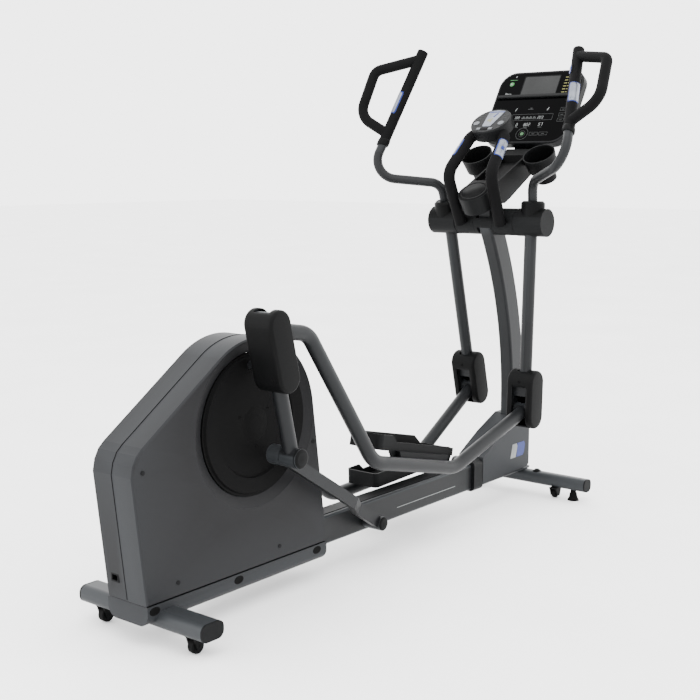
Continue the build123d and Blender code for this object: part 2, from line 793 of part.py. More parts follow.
with BuildPart() as drive_belts:
    add(belt(CRANK, PULLEY_R, STEP_AT, STEP_SMALL_R, BELT_ONE_Y))
    add(belt(STEP_AT, STEP_BIG_R, GENERATOR_AT, WHEEL_SMALL_R, BELT_TWO_Y))
drive_belts.part.label = "drive_belts"
export_step(drive_belts.part, "parts/drive_belts.step")

# the bracket carries the axles of the step pulley and of the generator
with BuildPart() as generator_bracket:
    with BuildSketch(side_on(WORLD, BRACKET_Y)):
        with BuildLine():
            Polyline(
                (-900, 172), (-740, 172), (-774, 450), (-832, 450), (-934, 290), (-934, 200),
                close=True,
            )
        make_face()
    extrude(amount=6)
    with BuildSketch(side_on(WORLD, BRACKET_Y)):
        with Locations((-820, 175)):
            Rectangle(160, 6)
    extrude(amount=BRACKET_Y + 30)
    for at in (STEP_AT, GENERATOR_AT):
        with BuildSketch(side_on(WORLD, BRACKET_Y)):
            with Locations(at):
                Circle(AXLE_R)
        extrude(amount=BRACKET_Y + 48)
generator_bracket.part.label = "generator_bracket"
export_step(generator_bracket.part, "parts/generator_bracket.step")

with BuildPart() as crank_bearings:
    for y in (UPRIGHT_Y, -UPRIGHT_Y):
        for outer, inner in ((BEARING_R, 21.5), (17, CRANK_SHAFT_R)):
            with BuildSketch(side_on(CRANK_FRAME, y + 7.5)):
                Circle(outer)
                Circle(inner, mode=Mode.SUBTRACT)
            extrude(amount=15)
        with BuildSketch(side_on(CRANK_FRAME, y + 2)):
            Circle(22)
            Circle(16.5, mode=Mode.SUBTRACT)
        extrude(amount=4)
crank_bearings.part.label = "crank_bearings"
export_step(crank_bearings.part, "parts/crank_bearings.step")

with BuildPart() as power_inlet:
    with BuildSketch(Plane.YZ.offset(-1012)):
        with Locations((36, 170)):
            Rectangle(28, 22)
            Rectangle(20, 14, mode=Mode.SUBTRACT)
    extrude(amount=42)
    with BuildSketch(Plane.YZ.offset(-974)):
        with Locations((36, 170)):
            Rectangle(28, 22)
    extrude(amount=4)
    for y in (30, 36, 42):
        with BuildSketch(Plane.YZ.offset(-1002)):
            with Locations((y, 170)):
                Rectangle(2, 5)
        extrude(amount=30)
power_inlet.part.label = "power_inlet"
export_step(power_inlet.part, "parts/power_inlet.step")

# ======================================================================= feet and wheels
LEVELER_AT = ((882, 229), (882, -229))
WHEEL_FRAME = {"rear": (-934, 169), "front": (874, 160)}
WHEEL_SIZE = {"rear": (20.5, 20), "front": (16, 16)}

with BuildPart() as leveler_feet:
    for x, y in LEVELER_AT:
        with BuildSketch(Plane.XY):
            with Locations((x, y)):
                Circle(21)
        with BuildSketch(Plane.XY.offset(12)):
            with Locations((x, y)):
                Circle(15)
        loft()
        with BuildSketch(Plane.XY.offset(12)):
            with Locations((x, y)):
                Circle(15)
        with BuildSketch(Plane.XY.offset(28)):
            with Locations((x, y)):
                Circle(12)
        loft()
        with BuildSketch(Plane.XY.offset(28)):
            with Locations((x, y)):
                Circle(10)
        extrude(amount=10)
leveler_feet.part.label = "leveler_feet"
export_step(leveler_feet.part, "parts/leveler_feet.step")

with BuildPart() as wheel_forks:
    for end, (x, y) in WHEEL_FRAME.items():
        radius, wide = WHEEL_SIZE[end]
        top = (REAR_FOOT if end == "rear" else FRONT_FOOT)
        plate_z = top[1] - top[3] / 2
        for hand in SIDES.values():
            mid = hand * y
            with BuildSketch(Plane.XY.offset(plate_z - 4)):
                with Locations((x, mid)):
                    Rectangle(40, wide + 14)
            extrude(amount=4)
            for cheek in (-1, 1):
                with BuildSketch(side_on(WORLD, mid + cheek * (wide / 2 + 3.5) + 2.5)):
                    with BuildLine():
                        Polyline(
                            (x - 20, plate_z), (x + 20, plate_z), (x + 9, radius - 8),
                            (x - 9, radius - 8),
                            close=True,
                        )
                    make_face()
                extrude(amount=5)
            with BuildSketch(side_on(WORLD, mid + wide / 2 + 7)):
                with Locations((x, radius)):
                    Circle(4)
            extrude(amount=wide + 14)
wheel_forks.part.label = "wheel_forks"
export_step(wheel_forks.part, "parts/wheel_forks.step")

for end, (x, y) in WHEEL_FRAME.items():
    radius, wide = WHEEL_SIZE[end]
    for name, hand in SIDES.items():
        with BuildPart() as wheel:
            with BuildSketch(side_on(WORLD, hand * y + wide / 2)):
                with Locations((x, radius)):
                    Circle(radius)
                    Circle(4 + FIT, mode=Mode.SUBTRACT)
            extrude(amount=wide)
            chamfer(wheel.edges().filter_by(GeomType.CIRCLE).group_by(SortBy.RADIUS)[-1], 2)
        wheel.part.label = f"{end}_wheel_{name}"
        export_step(wheel.part, f"parts/{end}_wheel_{name}.step")

SCREWS = [(-1008, 455), (-376, 420), (-900, 150), (-520, 150)]

with BuildPart() as cover_screws:
    for hand in SIDES.values():
        for at in SCREWS:
            with BuildSketch(side_on(WORLD, hand * SHROUD_HALF)):
                with Locations(at):
                    Circle(6)
            extrude(amount=-hand * 1.5)
cover_screws.part.label = "cover_screws"
export_step(cover_screws.part, "parts/cover_screws.step")

# ======================================================================= moving linkage, one set a side
CASING_MID = sum(CASING_HALF) / 2
CASING_T = CASING_HALF[1] - CASING_HALF[0]
CASING_WALL = 3
CHEEK_Y = 30
CHEEK_T = 5
EYE_R = 24
EYE_HALF = 29.4


def casing_shell(frame, low, high, radius, hand):
    """A hollow flat-sided casing with round ends, drawn in its piece's frame."""
    with BuildPart() as shell:
        for grow in (0, CASING_WALL):
            with BuildSketch(side_on(frame, hand * CASING_MID + CASING_T / 2 - grow)):
                with Locations((0, (low + high) / 2)):
                    SlotOverall(high - low - 2 * grow, 2 * (radius - grow), rotation=90)
            extrude(
                amount=CASING_T - 2 * grow, mode=Mode.SUBTRACT if grow else Mode.ADD
            )
    return shell.part


def tube_between(frame, points, radii, tube_r, wall):
    """A round tube along a bent path, drawn in its piece's frame."""
    with BuildPart() as tube:
        with BuildLine(frame) as path:
            FilletPolyline(*points, radius=radii)
        wire = path.wires()[0]
        with BuildSketch(Plane(origin=wire @ 0, z_dir=wire % 0)):
            Circle(tube_r)
            if wall:
                Circle(tube_r - wall, mode=Mode.SUBTRACT)
        sweep(path=wire)
    return tube.part


def lateral(frame, at, radius, inner, outer, hand, mode=Mode.ADD):
    """Adds or cuts a round across the machine, from inner to outer distance from the middle."""
    with BuildSketch(side_on(frame, hand * inner)) as disc:
        with Locations(at):
            Circle(radius)
    extrude(disc.sketch, amount=-hand * (outer - inner), mode=mode)


def plate(frame, points, inner, outer, hand, mode=Mode.ADD):
    """Adds or cuts a flat plate with a side-view outline, from inner to outer distance."""
    with BuildSketch(side_on(frame, hand * inner)) as outline:
        with BuildLine():
            Polyline(*points, close=True)
        make_face()
    extrude(outline.sketch, amount=-hand * (outer - inner), mode=mode)


# ----------------------------------------------------------------------- swing arms
GRIP_R = 19
GRIP_LOW = Vector(-92, 342, 294)
GRIP_TOP = Vector(106, 259.5, 575)
GRIP_DIR = (GRIP_TOP - GRIP_LOW).normalized()
HANDLE_POINTS = [
    (-3, 171, 30),
    (-14, 172, 136),
    tuple(GRIP_LOW - GRIP_DIR * 122),
    tuple(GRIP_LOW + GRIP_DIR * 30),
]
LOOP_POINTS = [
    tuple(GRIP_TOP - GRIP_DIR * 32),
    (16, 412, 530),
    (-76, 438, 392),
    tuple(GRIP_LOW + GRIP_DIR * 40),
]
ARM_TOP_Y = 171
BOSS_R = 40
BOSS_TOP = 72
COVER_Y = (118, 227)
SLEEVE_Y = (121, 223)
SWITCH_AT = 0.72
SWITCH_FACE = (-0.665, -0.70, 0.262)


def handed(points, hand):
    """The same points on the side that hand picks."""
    return [(x, hand * y, z) for x, y, z in points]


for name, hand in SIDES.items():
    pose = POSE[name]
    ARM = local(ARM_PIVOT, heading(ARM_PIVOT, pose["front"]) + 90)

    with BuildPart() as arm:
        # lower tube and the yoke round the pedal lever's eye
        with BuildSketch(top_on(ARM, -ARM_LENGTH + 62)):
            with Locations((0, hand * PLANE_Y)):
                Circle(ARM_R)
                Circle(ARM_R - TUBE_WALL, mode=Mode.SUBTRACT)
        extrude(amount=ARM_LENGTH - 84)
        plate(ARM, [(-25, -560), (25, -560), (25, -590), (-25, -590)], 130, 200, hand)
        for inner in (PLANE_Y - CHEEK_Y - CHEEK_T, PLANE_Y + CHEEK_Y):
            plate(
                ARM,
                [(-25, -560), (25, -560), (25, -648), (14, -664), (-14, -664), (-25, -648)],
                inner, inner + CHEEK_T, hand,
            )
        lateral(ARM, (0, -ARM_LENGTH), PIN_R, PLANE_Y - 38, PLANE_Y + 38, hand)
        # sleeve that turns on the pivot shaft
        lateral(ARM, (0, 0), 26, *SLEEVE_Y, hand)
        add(tube_between(ARM, handed(HANDLE_POINTS, hand), (48, 66), HANDLE_R, 0))
        # collar where the handle tube is welded to the sleeve
        with BuildSketch(top_on(ARM, 15)):
            with Locations((-3, hand * ARM_TOP_Y)):
                Circle(HANDLE_R + 4)
        extrude(amount=25)
        lateral(ARM, (0, 0), SHAFT_R + FIT, 110, 230, hand, Mode.SUBTRACT)
    arm.part.label = f"arm_{name}"
    export_step(arm.part, f"parts/arm_{name}.step")

    with BuildPart() as arm_cover:
        lateral(ARM, (0, 0), COVER_R + 1, *COVER_Y, hand)
        with BuildSketch(top_on(ARM, 0)):
            with Locations((-3, hand * ARM_TOP_Y)):
                Circle(BOSS_R)
        extrude(amount=BOSS_TOP)
        chamfer(arm_cover.edges().sort_by(Axis((ARM_PIVOT[0], 0, ARM_PIVOT[1]), ARM.z_dir))[-1], 7)
        lateral(ARM, (0, 0), COVER_R - 2, COVER_Y[0] + 3, COVER_Y[1] - 3, hand, Mode.SUBTRACT)
        lateral(ARM, (0, 0), 26, COVER_Y[0] - 1, COVER_Y[0] + 4, hand, Mode.SUBTRACT)
        with BuildSketch(top_on(ARM, 0)):
            with Locations((-3, hand * ARM_TOP_Y)):
                Circle(BOSS_R - 3)
        extrude(amount=BOSS_TOP - 9, mode=Mode.SUBTRACT)
        with BuildSketch(top_on(ARM, 40)):
            with Locations((-6.8, hand * ARM_TOP_Y)):
                Circle(HANDLE_R + 1.5)
        extrude(amount=60, mode=Mode.SUBTRACT)
        with BuildSketch(top_on(ARM, -60)):
            with Locations((0, hand * PLANE_Y)):
                Circle(ARM_R)
        extrude(amount=60, mode=Mode.SUBTRACT)
    arm_cover.part.label = f"arm_cover_{name}"
    export_step(arm_cover.part, f"parts/arm_cover_{name}.step")

    low, top = (ARM.from_local_coords(v) for v in handed([GRIP_LOW, GRIP_TOP], hand))
    along = Vector(*top) - Vector(*low)
    switch_at = Vector(*low) + along * SWITCH_AT
    face_dir = (
        ARM.from_local_coords(Vector(*handed([SWITCH_FACE], hand)[0])) - ARM.origin
    )
    SWITCH = Plane(origin=switch_at + face_dir * GRIP_R, x_dir=along, z_dir=face_dir)

    with BuildPart() as grip:
        with BuildSketch(Plane(origin=low, z_dir=along)):
            Circle(GRIP_R)
        extrude(amount=along.length)
        chamfer(grip.edges().filter_by(GeomType.CIRCLE), 3)
        add(tube_between(ARM, handed(LOOP_POINTS, hand), (36, 62), GRIP_R - 1, 0))
        with BuildSketch(Plane(origin=low, z_dir=along)):
            Circle(HANDLE_R)
        extrude(amount=30, mode=Mode.SUBTRACT)
        if name == "right":
            with BuildSketch(SWITCH.offset(-6)):
                SlotOverall(34, 14)
            extrude(amount=16, mode=Mode.SUBTRACT)
    grip.part.label = f"arm_grip_{name}"
    export_step(grip.part, f"parts/arm_grip_{name}.step")

    # only the right grip has a thumb switch
    if name == "right":
        with BuildPart() as thumb_switch:
            with BuildSketch(SWITCH.offset(-4)):
                SlotOverall(33.2, 13.2)
            extrude(amount=6)
        thumb_switch.part.label = "thumb_switch"
        export_step(thumb_switch.part, "parts/thumb_switch.step")

    with BuildPart() as front_casing:
        add(casing_shell(ARM, -700, -500, 42.5, hand))
        # the arm enters through the top
        with BuildSketch(top_on(ARM, -540)):
            with Locations((0, hand * PLANE_Y)):
                Circle(ARM_R)
        extrude(amount=60, mode=Mode.SUBTRACT)
        # slot for the swinging lever, in the rear
        with BuildSketch(side_on(ARM, hand * PLANE_Y + 25)):
            with Locations((-37, -623)):
                Rectangle(46, 134)
        extrude(amount=50, mode=Mode.SUBTRACT)
    front_casing.part.label = f"front_casing_{name}"
    export_step(front_casing.part, f"parts/front_casing_{name}.step")

    # ------------------------------------------------------------------- pedal lever and pedal
    LEVER = local(pose["rear"], heading(pose["rear"], pose["front"]))
    LEVER_POINTS = [(0, 0), (153, 22), (552, -279), (981, -244), (LEVER_LENGTH, 0)]
    lever_path = [(x, hand * PLANE_Y, z) for x, z in LEVER_POINTS]

    with BuildPart() as lever:
        add(tube_between(LEVER, lever_path, (70, 110, 130), LEVER_R, 0))
        for at in (LEVER_POINTS[0], LEVER_POINTS[-1]):
            lateral(LEVER, at, EYE_R, PLANE_Y - EYE_HALF, PLANE_Y + EYE_HALF, hand)
            lateral(LEVER, at, PIN_R + FIT, 120, 210, hand, Mode.SUBTRACT)
    lever.part.label = f"pedal_lever_{name}"
    export_step(lever.part, f"parts/pedal_lever_{name}.step")

    middle = LEVER.from_local_coords(Vector(PEDAL_AT[0], 0, PEDAL_AT[1]))
    PEDAL = local((middle.X, middle.Z), heading(pose["rear"], pose["front"]) + PEDAL_TURN)

    with BuildPart() as pedal:
        with BuildSketch(top_on(PEDAL, PEDAL_FLOOR)):
            with Locations((-2, hand * sum(PEDAL_Y) / 2)):
                RectangleRounded(PEDAL_LONG, PEDAL_Y[1] - PEDAL_Y[0], 16)
        extrude(amount=46)
        with BuildSketch(top_on(PEDAL, PEDAL_FLOOR + 6)):
            with Locations((-2, hand * sum(PEDAL_Y) / 2)):
                RectangleRounded(PEDAL_LONG - 10, PEDAL_Y[1] - PEDAL_Y[0] - 10, 11)
        extrude(amount=50, mode=Mode.SUBTRACT)
        # the wall beside the lever is lower, and the front is lower still
        low_wall = [(-150, 90), (-120, 63), (200, 63), (200, 90)]
        plate(PEDAL, low_wall, PEDAL_Y[1] - 20, PEDAL_Y[1] + 5, hand, Mode.SUBTRACT)
        front_wall = [(120, 90), (172, 60), (200, 60), (200, 90)]
        plate(PEDAL, front_wall, PEDAL_Y[0] - 5, PEDAL_Y[1] + 5, hand, Mode.SUBTRACT)
        # skirt beside the lever, and the saddle that bolts to it
        skirt = [(-150, 40), (-150, 30), (-112, 15), (176, 15), (182, 40)]
        plate(PEDAL, skirt, PEDAL_Y[1] - 6, PEDAL_Y[1], hand)
        saddle = [(-125, PEDAL_FLOOR + 2), (-105, 6), (135, 6), (140, PEDAL_FLOOR + 2)]
        plate(PEDAL, saddle, PEDAL_Y[1] - 26, PLANE_Y - 4, hand)
        with BuildSketch(
            Plane(origin=PEDAL.from_local_coords((-200, hand * PLANE_Y, 0)), z_dir=PEDAL.x_dir)
        ):
            Circle(LEVER_R + FIT)
        extrude(amount=400, mode=Mode.SUBTRACT)
    pedal.part.label = f"pedal_{name}"
    export_step(pedal.part, f"parts/pedal_{name}.step")

    # ------------------------------------------------------------------- coupler and rear casing
    COUPLER = local(pose["hub"], heading(pose["hub"], pose["rear"]) - 90)
    COUPLER_TOP = COUPLER_LOW + COUPLER_HIGH

    with BuildPart() as coupler:
        with BuildSketch(top_on(COUPLER, 0)):
            with Locations((0, hand * PLANE_Y)):
                Circle(ARM_R)
        extrude(amount=300)
        lateral(COUPLER, (0, 0), HUB_R, *HUB_OUTER_Y, hand)
        plate(COUPLER, [(-22, 286), (22, 286), (22, 306), (-22, 306)], 130, 200, hand)
        for inner in (PLANE_Y - CHEEK_Y - CHEEK_T, PLANE_Y + CHEEK_Y):
            plate(
                COUPLER,
                [(-22, 286), (22, 286), (22, 368), (10, 404), (-12, 404), (-22, 368)],
                inner, inner + CHEEK_T, hand,
            )
        # rod that ties the two cheeks over the lever's eye
        lateral(COUPLER, (-2, 399), 10, 130, 200, hand)
        lateral(COUPLER, (0, COUPLER_TOP), PIN_R, PLANE_Y - 38, PLANE_Y + 38, hand)
        # the crank pin, which stops just short of the disc's raised band
        lateral(COUPLER, (0, COUPLER_LOW), 12, 77, 150, hand)
        lateral(COUPLER, (0, COUPLER_LOW), 18, 124, 150, hand)
    coupler.part.label = f"coupler_{name}"
    export_step(coupler.part, f"parts/coupler_{name}.step")

    with BuildPart() as rear_casing:
        add(casing_shell(COUPLER, 190, COUPLER_TOP + 55, 40, hand))
        with BuildSketch(top_on(COUPLER, 180)):
            with Locations((0, hand * PLANE_Y)):
                Circle(ARM_R)
        extrude(amount=40, mode=Mode.SUBTRACT)
        # mouth for the pedal lever, from the front over the top
        mouth = [(-14, 430), (-14, 404), (6, 392), (12, 296), (60, 280), (60, 430)]
        plate(COUPLER, mouth, PLANE_Y - 25, PLANE_Y + 25, hand, Mode.SUBTRACT)
        lateral(COUPLER, (0, COUPLER_LOW), 18, 110, 122, hand, Mode.SUBTRACT)
    rear_casing.part.label = f"rear_casing_{name}"
    export_step(rear_casing.part, f"parts/rear_casing_{name}.step")

    # ------------------------------------------------------------------- lower link
    LINK = local(LINK_PIVOT, heading(LINK_PIVOT, pose["hub"]))

    with BuildPart() as lower_link:
        with BuildSketch(top_on(LINK, -LINK_HALF)):
            with BuildLine():
                outer_edge = [(0, 98), (126, 98), (197, 135), (LINK_LENGTH, 135)]
                inner_edge = [(LINK_LENGTH, 115), (205, 115), (132, 78), (0, 78)]
                Polyline(*[(x, hand * y) for x, y in outer_edge + inner_edge], close=True)
            make_face()
        extrude(amount=2 * LINK_HALF)
        lateral(LINK, (0, 0), 21.5, 42, 106, hand)
        lateral(LINK, (0, 0), LINK_SHAFT_R + FIT, 38, 108, hand, Mode.SUBTRACT)
        lateral(LINK, (LINK_LENGTH, 0), HUB_R, *HUB_INNER_Y, hand)
    lower_link.part.label = f"lower_link_{name}"
    export_step(lower_link.part, f"parts/lower_link_{name}.step")
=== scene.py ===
"""The look of the elliptical trainer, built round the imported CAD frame.

Metres. +X runs to the console, +Y to the user's left, +Z up.
"""

import json
import math

import bpy
from mathutils import Matrix, Vector


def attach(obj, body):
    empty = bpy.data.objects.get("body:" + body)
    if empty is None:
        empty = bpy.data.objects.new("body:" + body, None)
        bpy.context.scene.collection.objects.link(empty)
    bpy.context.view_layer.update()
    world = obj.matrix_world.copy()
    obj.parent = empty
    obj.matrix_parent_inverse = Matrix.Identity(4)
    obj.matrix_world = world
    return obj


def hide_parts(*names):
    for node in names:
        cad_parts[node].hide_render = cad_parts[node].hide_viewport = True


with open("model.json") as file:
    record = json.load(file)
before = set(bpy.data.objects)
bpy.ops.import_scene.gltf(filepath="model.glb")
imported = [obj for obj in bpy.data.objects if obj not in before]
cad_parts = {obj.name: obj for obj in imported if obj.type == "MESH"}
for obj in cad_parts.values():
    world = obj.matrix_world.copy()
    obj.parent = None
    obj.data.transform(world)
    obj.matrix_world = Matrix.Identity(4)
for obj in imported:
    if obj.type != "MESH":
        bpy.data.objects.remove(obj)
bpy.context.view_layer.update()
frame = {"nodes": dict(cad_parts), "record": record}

SIDES = {"right": -1, "left": 1}
# side-view pivots at rest, and the turn of each moving piece's own frame
ARM_PIVOT = (0.651, 1.002)
ARM_TURN = {"right": -1.66, "left": 14.07}
LEVER_AT = {"right": (-0.65504, 0.77495), "left": (-0.54389, 0.44439)}
LEVER_TURN = {"right": -17.77, "left": -2.68}
HUB_AT = {"right": (-0.56989, 0.42516), "left": (-0.65984, 0.10358)}
COUPLER_TURN = {"right": 13.68, "left": -18.79}
LINK_AT = (-0.088, 0.117)
CRANK = (-0.604, 0.508)
# the swing arm's grip, from its lower to its upper end, in the right way up for the left arm
GRIP_LOW = (-0.092, 0.342, 0.294)
GRIP_TOP = (0.106, 0.2595, 0.575)
GRIP_R = 0.019
SWITCH_SHARE = 0.72
# the pedal tray in the lever's frame
PEDAL_AT = (0.805, -0.25836)
PEDAL_TURN = 4.66
PEDAL_Y = 0.083
# half widths of the shroud, fairing and rail, and the round top of the shroud
SHROUD_HALF = 0.074
FAIRING_HALF = 0.050
RAIL_HALF = 0.036
CROWN_R = 0.234
SEAM_LIFT = 0.0003
STUDIO_STRENGTH = 4.2


# ---------------------------------------------------------------- frames
def side_frame(at, turn=0.0):
    """Local X forward, Y left, Z up, turned in side view."""
    t = math.radians(turn)
    c, s = math.cos(t), math.sin(t)
    return Matrix(((c, 0, -s, at[0]), (0, 1, 0, 0), (s, 0, c, at[1]), (0, 0, 0, 1)))


def axes_frame(origin, x_dir, z_dir):
    x, z = Vector(x_dir).normalized(), Vector(z_dir).normalized()
    y = z.cross(x).normalized()
    return Matrix(
        ((x.x, y.x, z.x, origin[0]), (x.y, y.y, z.y, origin[1]), (x.z, y.z, z.z, origin[2]), (0, 0, 0, 1))
    )


LEAN = math.radians(31.4)
FACE_UP = Vector((math.sin(LEAN), 0, math.cos(LEAN)))
FACE_OUT = Vector((-math.cos(LEAN), 0, math.sin(LEAN)))
CONSOLE = axes_frame(Vector((0.848, 0, 1.27)) + FACE_UP * 0.1525, (0, -1, 0), FACE_OUT)
POD = side_frame((0.647, 1.343), 35)
DRUM = side_frame((0.548, 1.106), 35)


# ---------------------------------------------------------------- materials
TONE = 0.38  # every finish is held down by this against the bright studio


def srgb(r, g, b):
    def lin(c):
        c /= 255
        return TONE * (c / 12.92 if c <= 0.04045 else ((c + 0.055) / 1.055) ** 2.4)

    return (lin(r), lin(g), lin(b), 1.0)


def material(
    name, dark, light, rough, metal=0.0, grain=900.0, bump=0.05, blotch=6.0, coat=0.0, spec=0.5, edge_highlight=None
):
    """A procedural finish: broad tone variation, fine grain in the bump, and an optional painted highlight, a
    lighter colour on sharp convex edges.
    """
    m = bpy.data.materials.new(name)
    m.use_nodes = True
    nt = m.node_tree
    n, link = nt.nodes, nt.links
    bsdf = n["Principled BSDF"]
    coords = n.new("ShaderNodeTexCoord")
    broad = n.new("ShaderNodeTexNoise")
    broad.inputs["Scale"].default_value = blotch
    broad.inputs["Detail"].default_value = 6.0
    link.new(coords.outputs["Object"], broad.inputs["Vector"])
    ramp = n.new("ShaderNodeValToRGB")
    ramp.color_ramp.elements[0].position = 0.3
    ramp.color_ramp.elements[0].color = dark
    ramp.color_ramp.elements[1].position = 0.72
    ramp.color_ramp.elements[1].color = light
    link.new(broad.outputs["Fac"], ramp.inputs["Fac"])
    colour = ramp.outputs["Color"]
    # painted highlight: where pointiness marks a sharp convex edge, the colour is mixed toward the lighter
    # edge colour
    if edge_highlight:
        geometry = n.new("ShaderNodeNewGeometry")
        edge = n.new("ShaderNodeMapRange")
        edge.inputs["From Min"].default_value = 0.53
        edge.inputs["From Max"].default_value = 0.62
        link.new(geometry.outputs["Pointiness"], edge.inputs["Value"])
        mix = n.new("ShaderNodeMix")
        mix.data_type = "RGBA"
        mix.inputs["B"].default_value = edge_highlight
        link.new(edge.outputs["Result"], mix.inputs["Factor"])
        link.new(colour, mix.inputs["A"])
        colour = mix.outputs["Result"]
    link.new(colour, bsdf.inputs["Base Color"])
    fine = n.new("ShaderNodeTexNoise")
    fine.inputs["Scale"].default_value = grain
    fine.inputs["Detail"].default_value = 3.0
    link.new(coords.outputs["Object"], fine.inputs["Vector"])
    rough_map = n.new("ShaderNodeMapRange")
    rough_map.inputs["To Min"].default_value = max(rough - 0.05, 0.03)
    rough_map.inputs["To Max"].default_value = min(rough + 0.07, 1.0)
    link.new(broad.outputs["Fac"], rough_map.inputs["Value"])
    link.new(rough_map.outputs["Result"], bsdf.inputs["Roughness"])
    bumper = n.new("ShaderNodeBump")
    bumper.inputs["Strength"].default_value = bump
    bumper.inputs["Distance"].default_value = 0.0006
    link.new(fine.outputs["Fac"], bumper.inputs["Height"])
    link.new(bumper.outputs["Normal"], bsdf.inputs["Normal"])
    bsdf.inputs["Metallic"].default_value = metal
    bsdf.inputs["Specular IOR Level"].default_value = 0.7 * spec
    bsdf.inputs["Coat Weight"].default_value = coat
    return m


def brushed(name, dark, light, rough):
    """Steel with fine turning lines."""
    m = material(name, dark, light, rough, metal=1.0, grain=400, bump=0.02)
    nt = m.node_tree
    wave = nt.nodes.new("ShaderNodeTexNoise")
    wave.inputs["Scale"].default_value = 60
    stretch = nt.nodes.new("ShaderNodeMapping")
    stretch.inputs["Scale"].default_value = (1.0, 40.0, 1.0)
    coords = nt.nodes["Texture Coordinate"]
    nt.links.new(coords.outputs["Object"], stretch.inputs["Vector"])
    nt.links.new(stretch.outputs["Vector"], wave.inputs["Vector"])
    nt.links.new(wave.outputs["Fac"], nt.nodes["Bump"].inputs["Height"])
    return m


# the lighter edge colours given to the frame paint, shroud and black plastic are painted highlight on their
# convex edges
PAINT = material(
    "frame_paint", srgb(33, 34, 36), srgb(41, 43, 45), 0.42, metal=0.2, grain=1400, bump=0.05, blotch=4,
    spec=0.22, edge_highlight=srgb(66, 69, 72),
)
SHROUD = material(
    "shroud_plastic", srgb(30, 30, 32), srgb(36, 36, 38), 0.48, grain=1500, bump=0.10, blotch=3, spec=0.14,
    edge_highlight=srgb(58, 60, 63),
)
BLACK = material(
    "black_plastic", srgb(12, 13, 13), srgb(18, 18, 19), 0.5, grain=1300, bump=0.14, blotch=9, spec=0.07,
    edge_highlight=srgb(30, 31, 32),
)
DISC = material(
    "disc_plastic", srgb(11, 11, 12), srgb(18, 18, 18), 0.6, grain=900, bump=0.10, blotch=5, spec=0.05
)
RUBBER = material(
    "grip_rubber", srgb(12, 12, 13), srgb(20, 20, 21), 0.7, grain=2200, bump=0.35, blotch=14, spec=0.07
)
TYRE = material(
    "wheel_rubber", srgb(12, 12, 13), srgb(20, 20, 20), 0.6, grain=700, bump=0.2, blotch=30, spec=0.07
)
GLOSS = material(
    "console_gloss", srgb(1, 1, 2), srgb(3, 3, 4), 0.16, grain=300, bump=0.01, blotch=5, spec=0.03
)
TRIM = material(
    "console_trim", srgb(20, 21, 22), srgb(28, 29, 31), 0.42, grain=1300, bump=0.10, blotch=8, spec=0.12
)
KEY = material(
    "key_grey", srgb(118, 121, 126), srgb(140, 143, 148), 0.4, grain=1200, bump=0.08, blotch=30, spec=0.3
)
GREEN = material(
    "start_green", srgb(14, 96, 30), srgb(40, 146, 56), 0.25, grain=800, bump=0.03, blotch=60, coat=0.2
)
BLUE = material(
    "switch_blue", srgb(26, 46, 128), srgb(40, 66, 160), 0.38, grain=900, bump=0.05, blotch=60, spec=0.3
)
SILVER = material(
    "sensor_silver", srgb(140, 146, 160), srgb(188, 193, 205), 0.28, metal=0.7, grain=500, bump=0.03,
    blotch=25
)
STEEL = brushed("shaft_steel", srgb(150, 152, 156), srgb(178, 180, 184), 0.3)
IRON = material(
    "cast_wheel", srgb(60, 60, 62), srgb(80, 80, 83), 0.6, metal=0.6, grain=500, bump=0.4, blotch=12
)
BELT = material("belt_rubber", srgb(22, 22, 22), srgb(34, 34, 34), 0.75, grain=800, bump=0.3, blotch=20)
PULLEY = material("pulley_plastic", srgb(40, 40, 43), srgb(54, 54, 57), 0.5, grain=900, bump=0.12, blotch=12)
SCREEN = material(
    "screen_glass", srgb(42, 43, 43), srgb(56, 57, 57), 0.2, grain=300, bump=0.01, blotch=7, spec=0.2
)
PRINT = material("pale_print", srgb(140, 144, 144), srgb(176, 179, 178), 0.5, grain=900, bump=0.02, blotch=40)
DIM = material("dim_print", srgb(52, 55, 55), srgb(78, 81, 80), 0.5, grain=900, bump=0.02, blotch=40)
YELLOW = material(
    "yellow_print", srgb(150, 150, 90), srgb(196, 190, 110), 0.5, grain=900, bump=0.02, blotch=40
)
# near black with little sheen: the dark joint of the shroud seam, and painted shade for the screw holes and
# the shroud's recesses
JOINT_AND_HOLE_SHADE = material("joint_black_and_hole_shade", srgb(5, 5, 5), srgb(9, 9, 9), 0.8, grain=700, bump=0.1, blotch=20, spec=0.1)

FINISH = {
    "frame_grey": PAINT, "shroud_plastic": SHROUD, "black_plastic": BLACK, "black_rubber": RUBBER,
    "tyre_rubber": TYRE, "console_gloss": GLOSS, "console_trim": TRIM, "key_grey": KEY,
    "start_green": GREEN, "switch_blue": BLUE, "steel": STEEL, "cast_wheel": IRON,
    "belt_rubber": BELT, "pulley_plastic": PULLEY,
}
for part in frame["record"]["subparts"]:
    node = frame["nodes"][part["node"]]
    finish = FINISH[part["material_slot"]]
    if part["node"] == "crank_discs":
        finish = DISC
    for place in range(max(len(node.material_slots), 1)):
        if node.material_slots:
            node.material_slots[place].material = finish
        else:
            node.data.materials.append(finish)


# ---------------------------------------------------------------- mesh helpers
def piece(name, verts, faces, finish, body, bevel=0.0, smooth=True, thick=0.0):
    """A mesh piece in the row frame that rides on a CAD body."""
    mesh = bpy.data.meshes.new(name)
    mesh.from_pydata([tuple(v) for v in verts], [], faces)
    mesh.validate()
    mesh.update()
    obj = bpy.data.objects.new(name, mesh)
    bpy.context.scene.collection.objects.link(obj)
    mesh.materials.append(finish)
    if smooth:
        mesh.shade_smooth()
    if thick:
        solid = obj.modifiers.new("wall", "SOLIDIFY")
        solid.thickness = thick
        solid.offset = -1.0
    if bevel:
        edge = obj.modifiers.new("edge", "BEVEL")
        edge.width = bevel
        edge.segments = 3
        edge.limit_method = "ANGLE"
        edge.angle_limit = math.radians(38)
        edge.harden_normals = True
    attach(obj, body)
    return obj


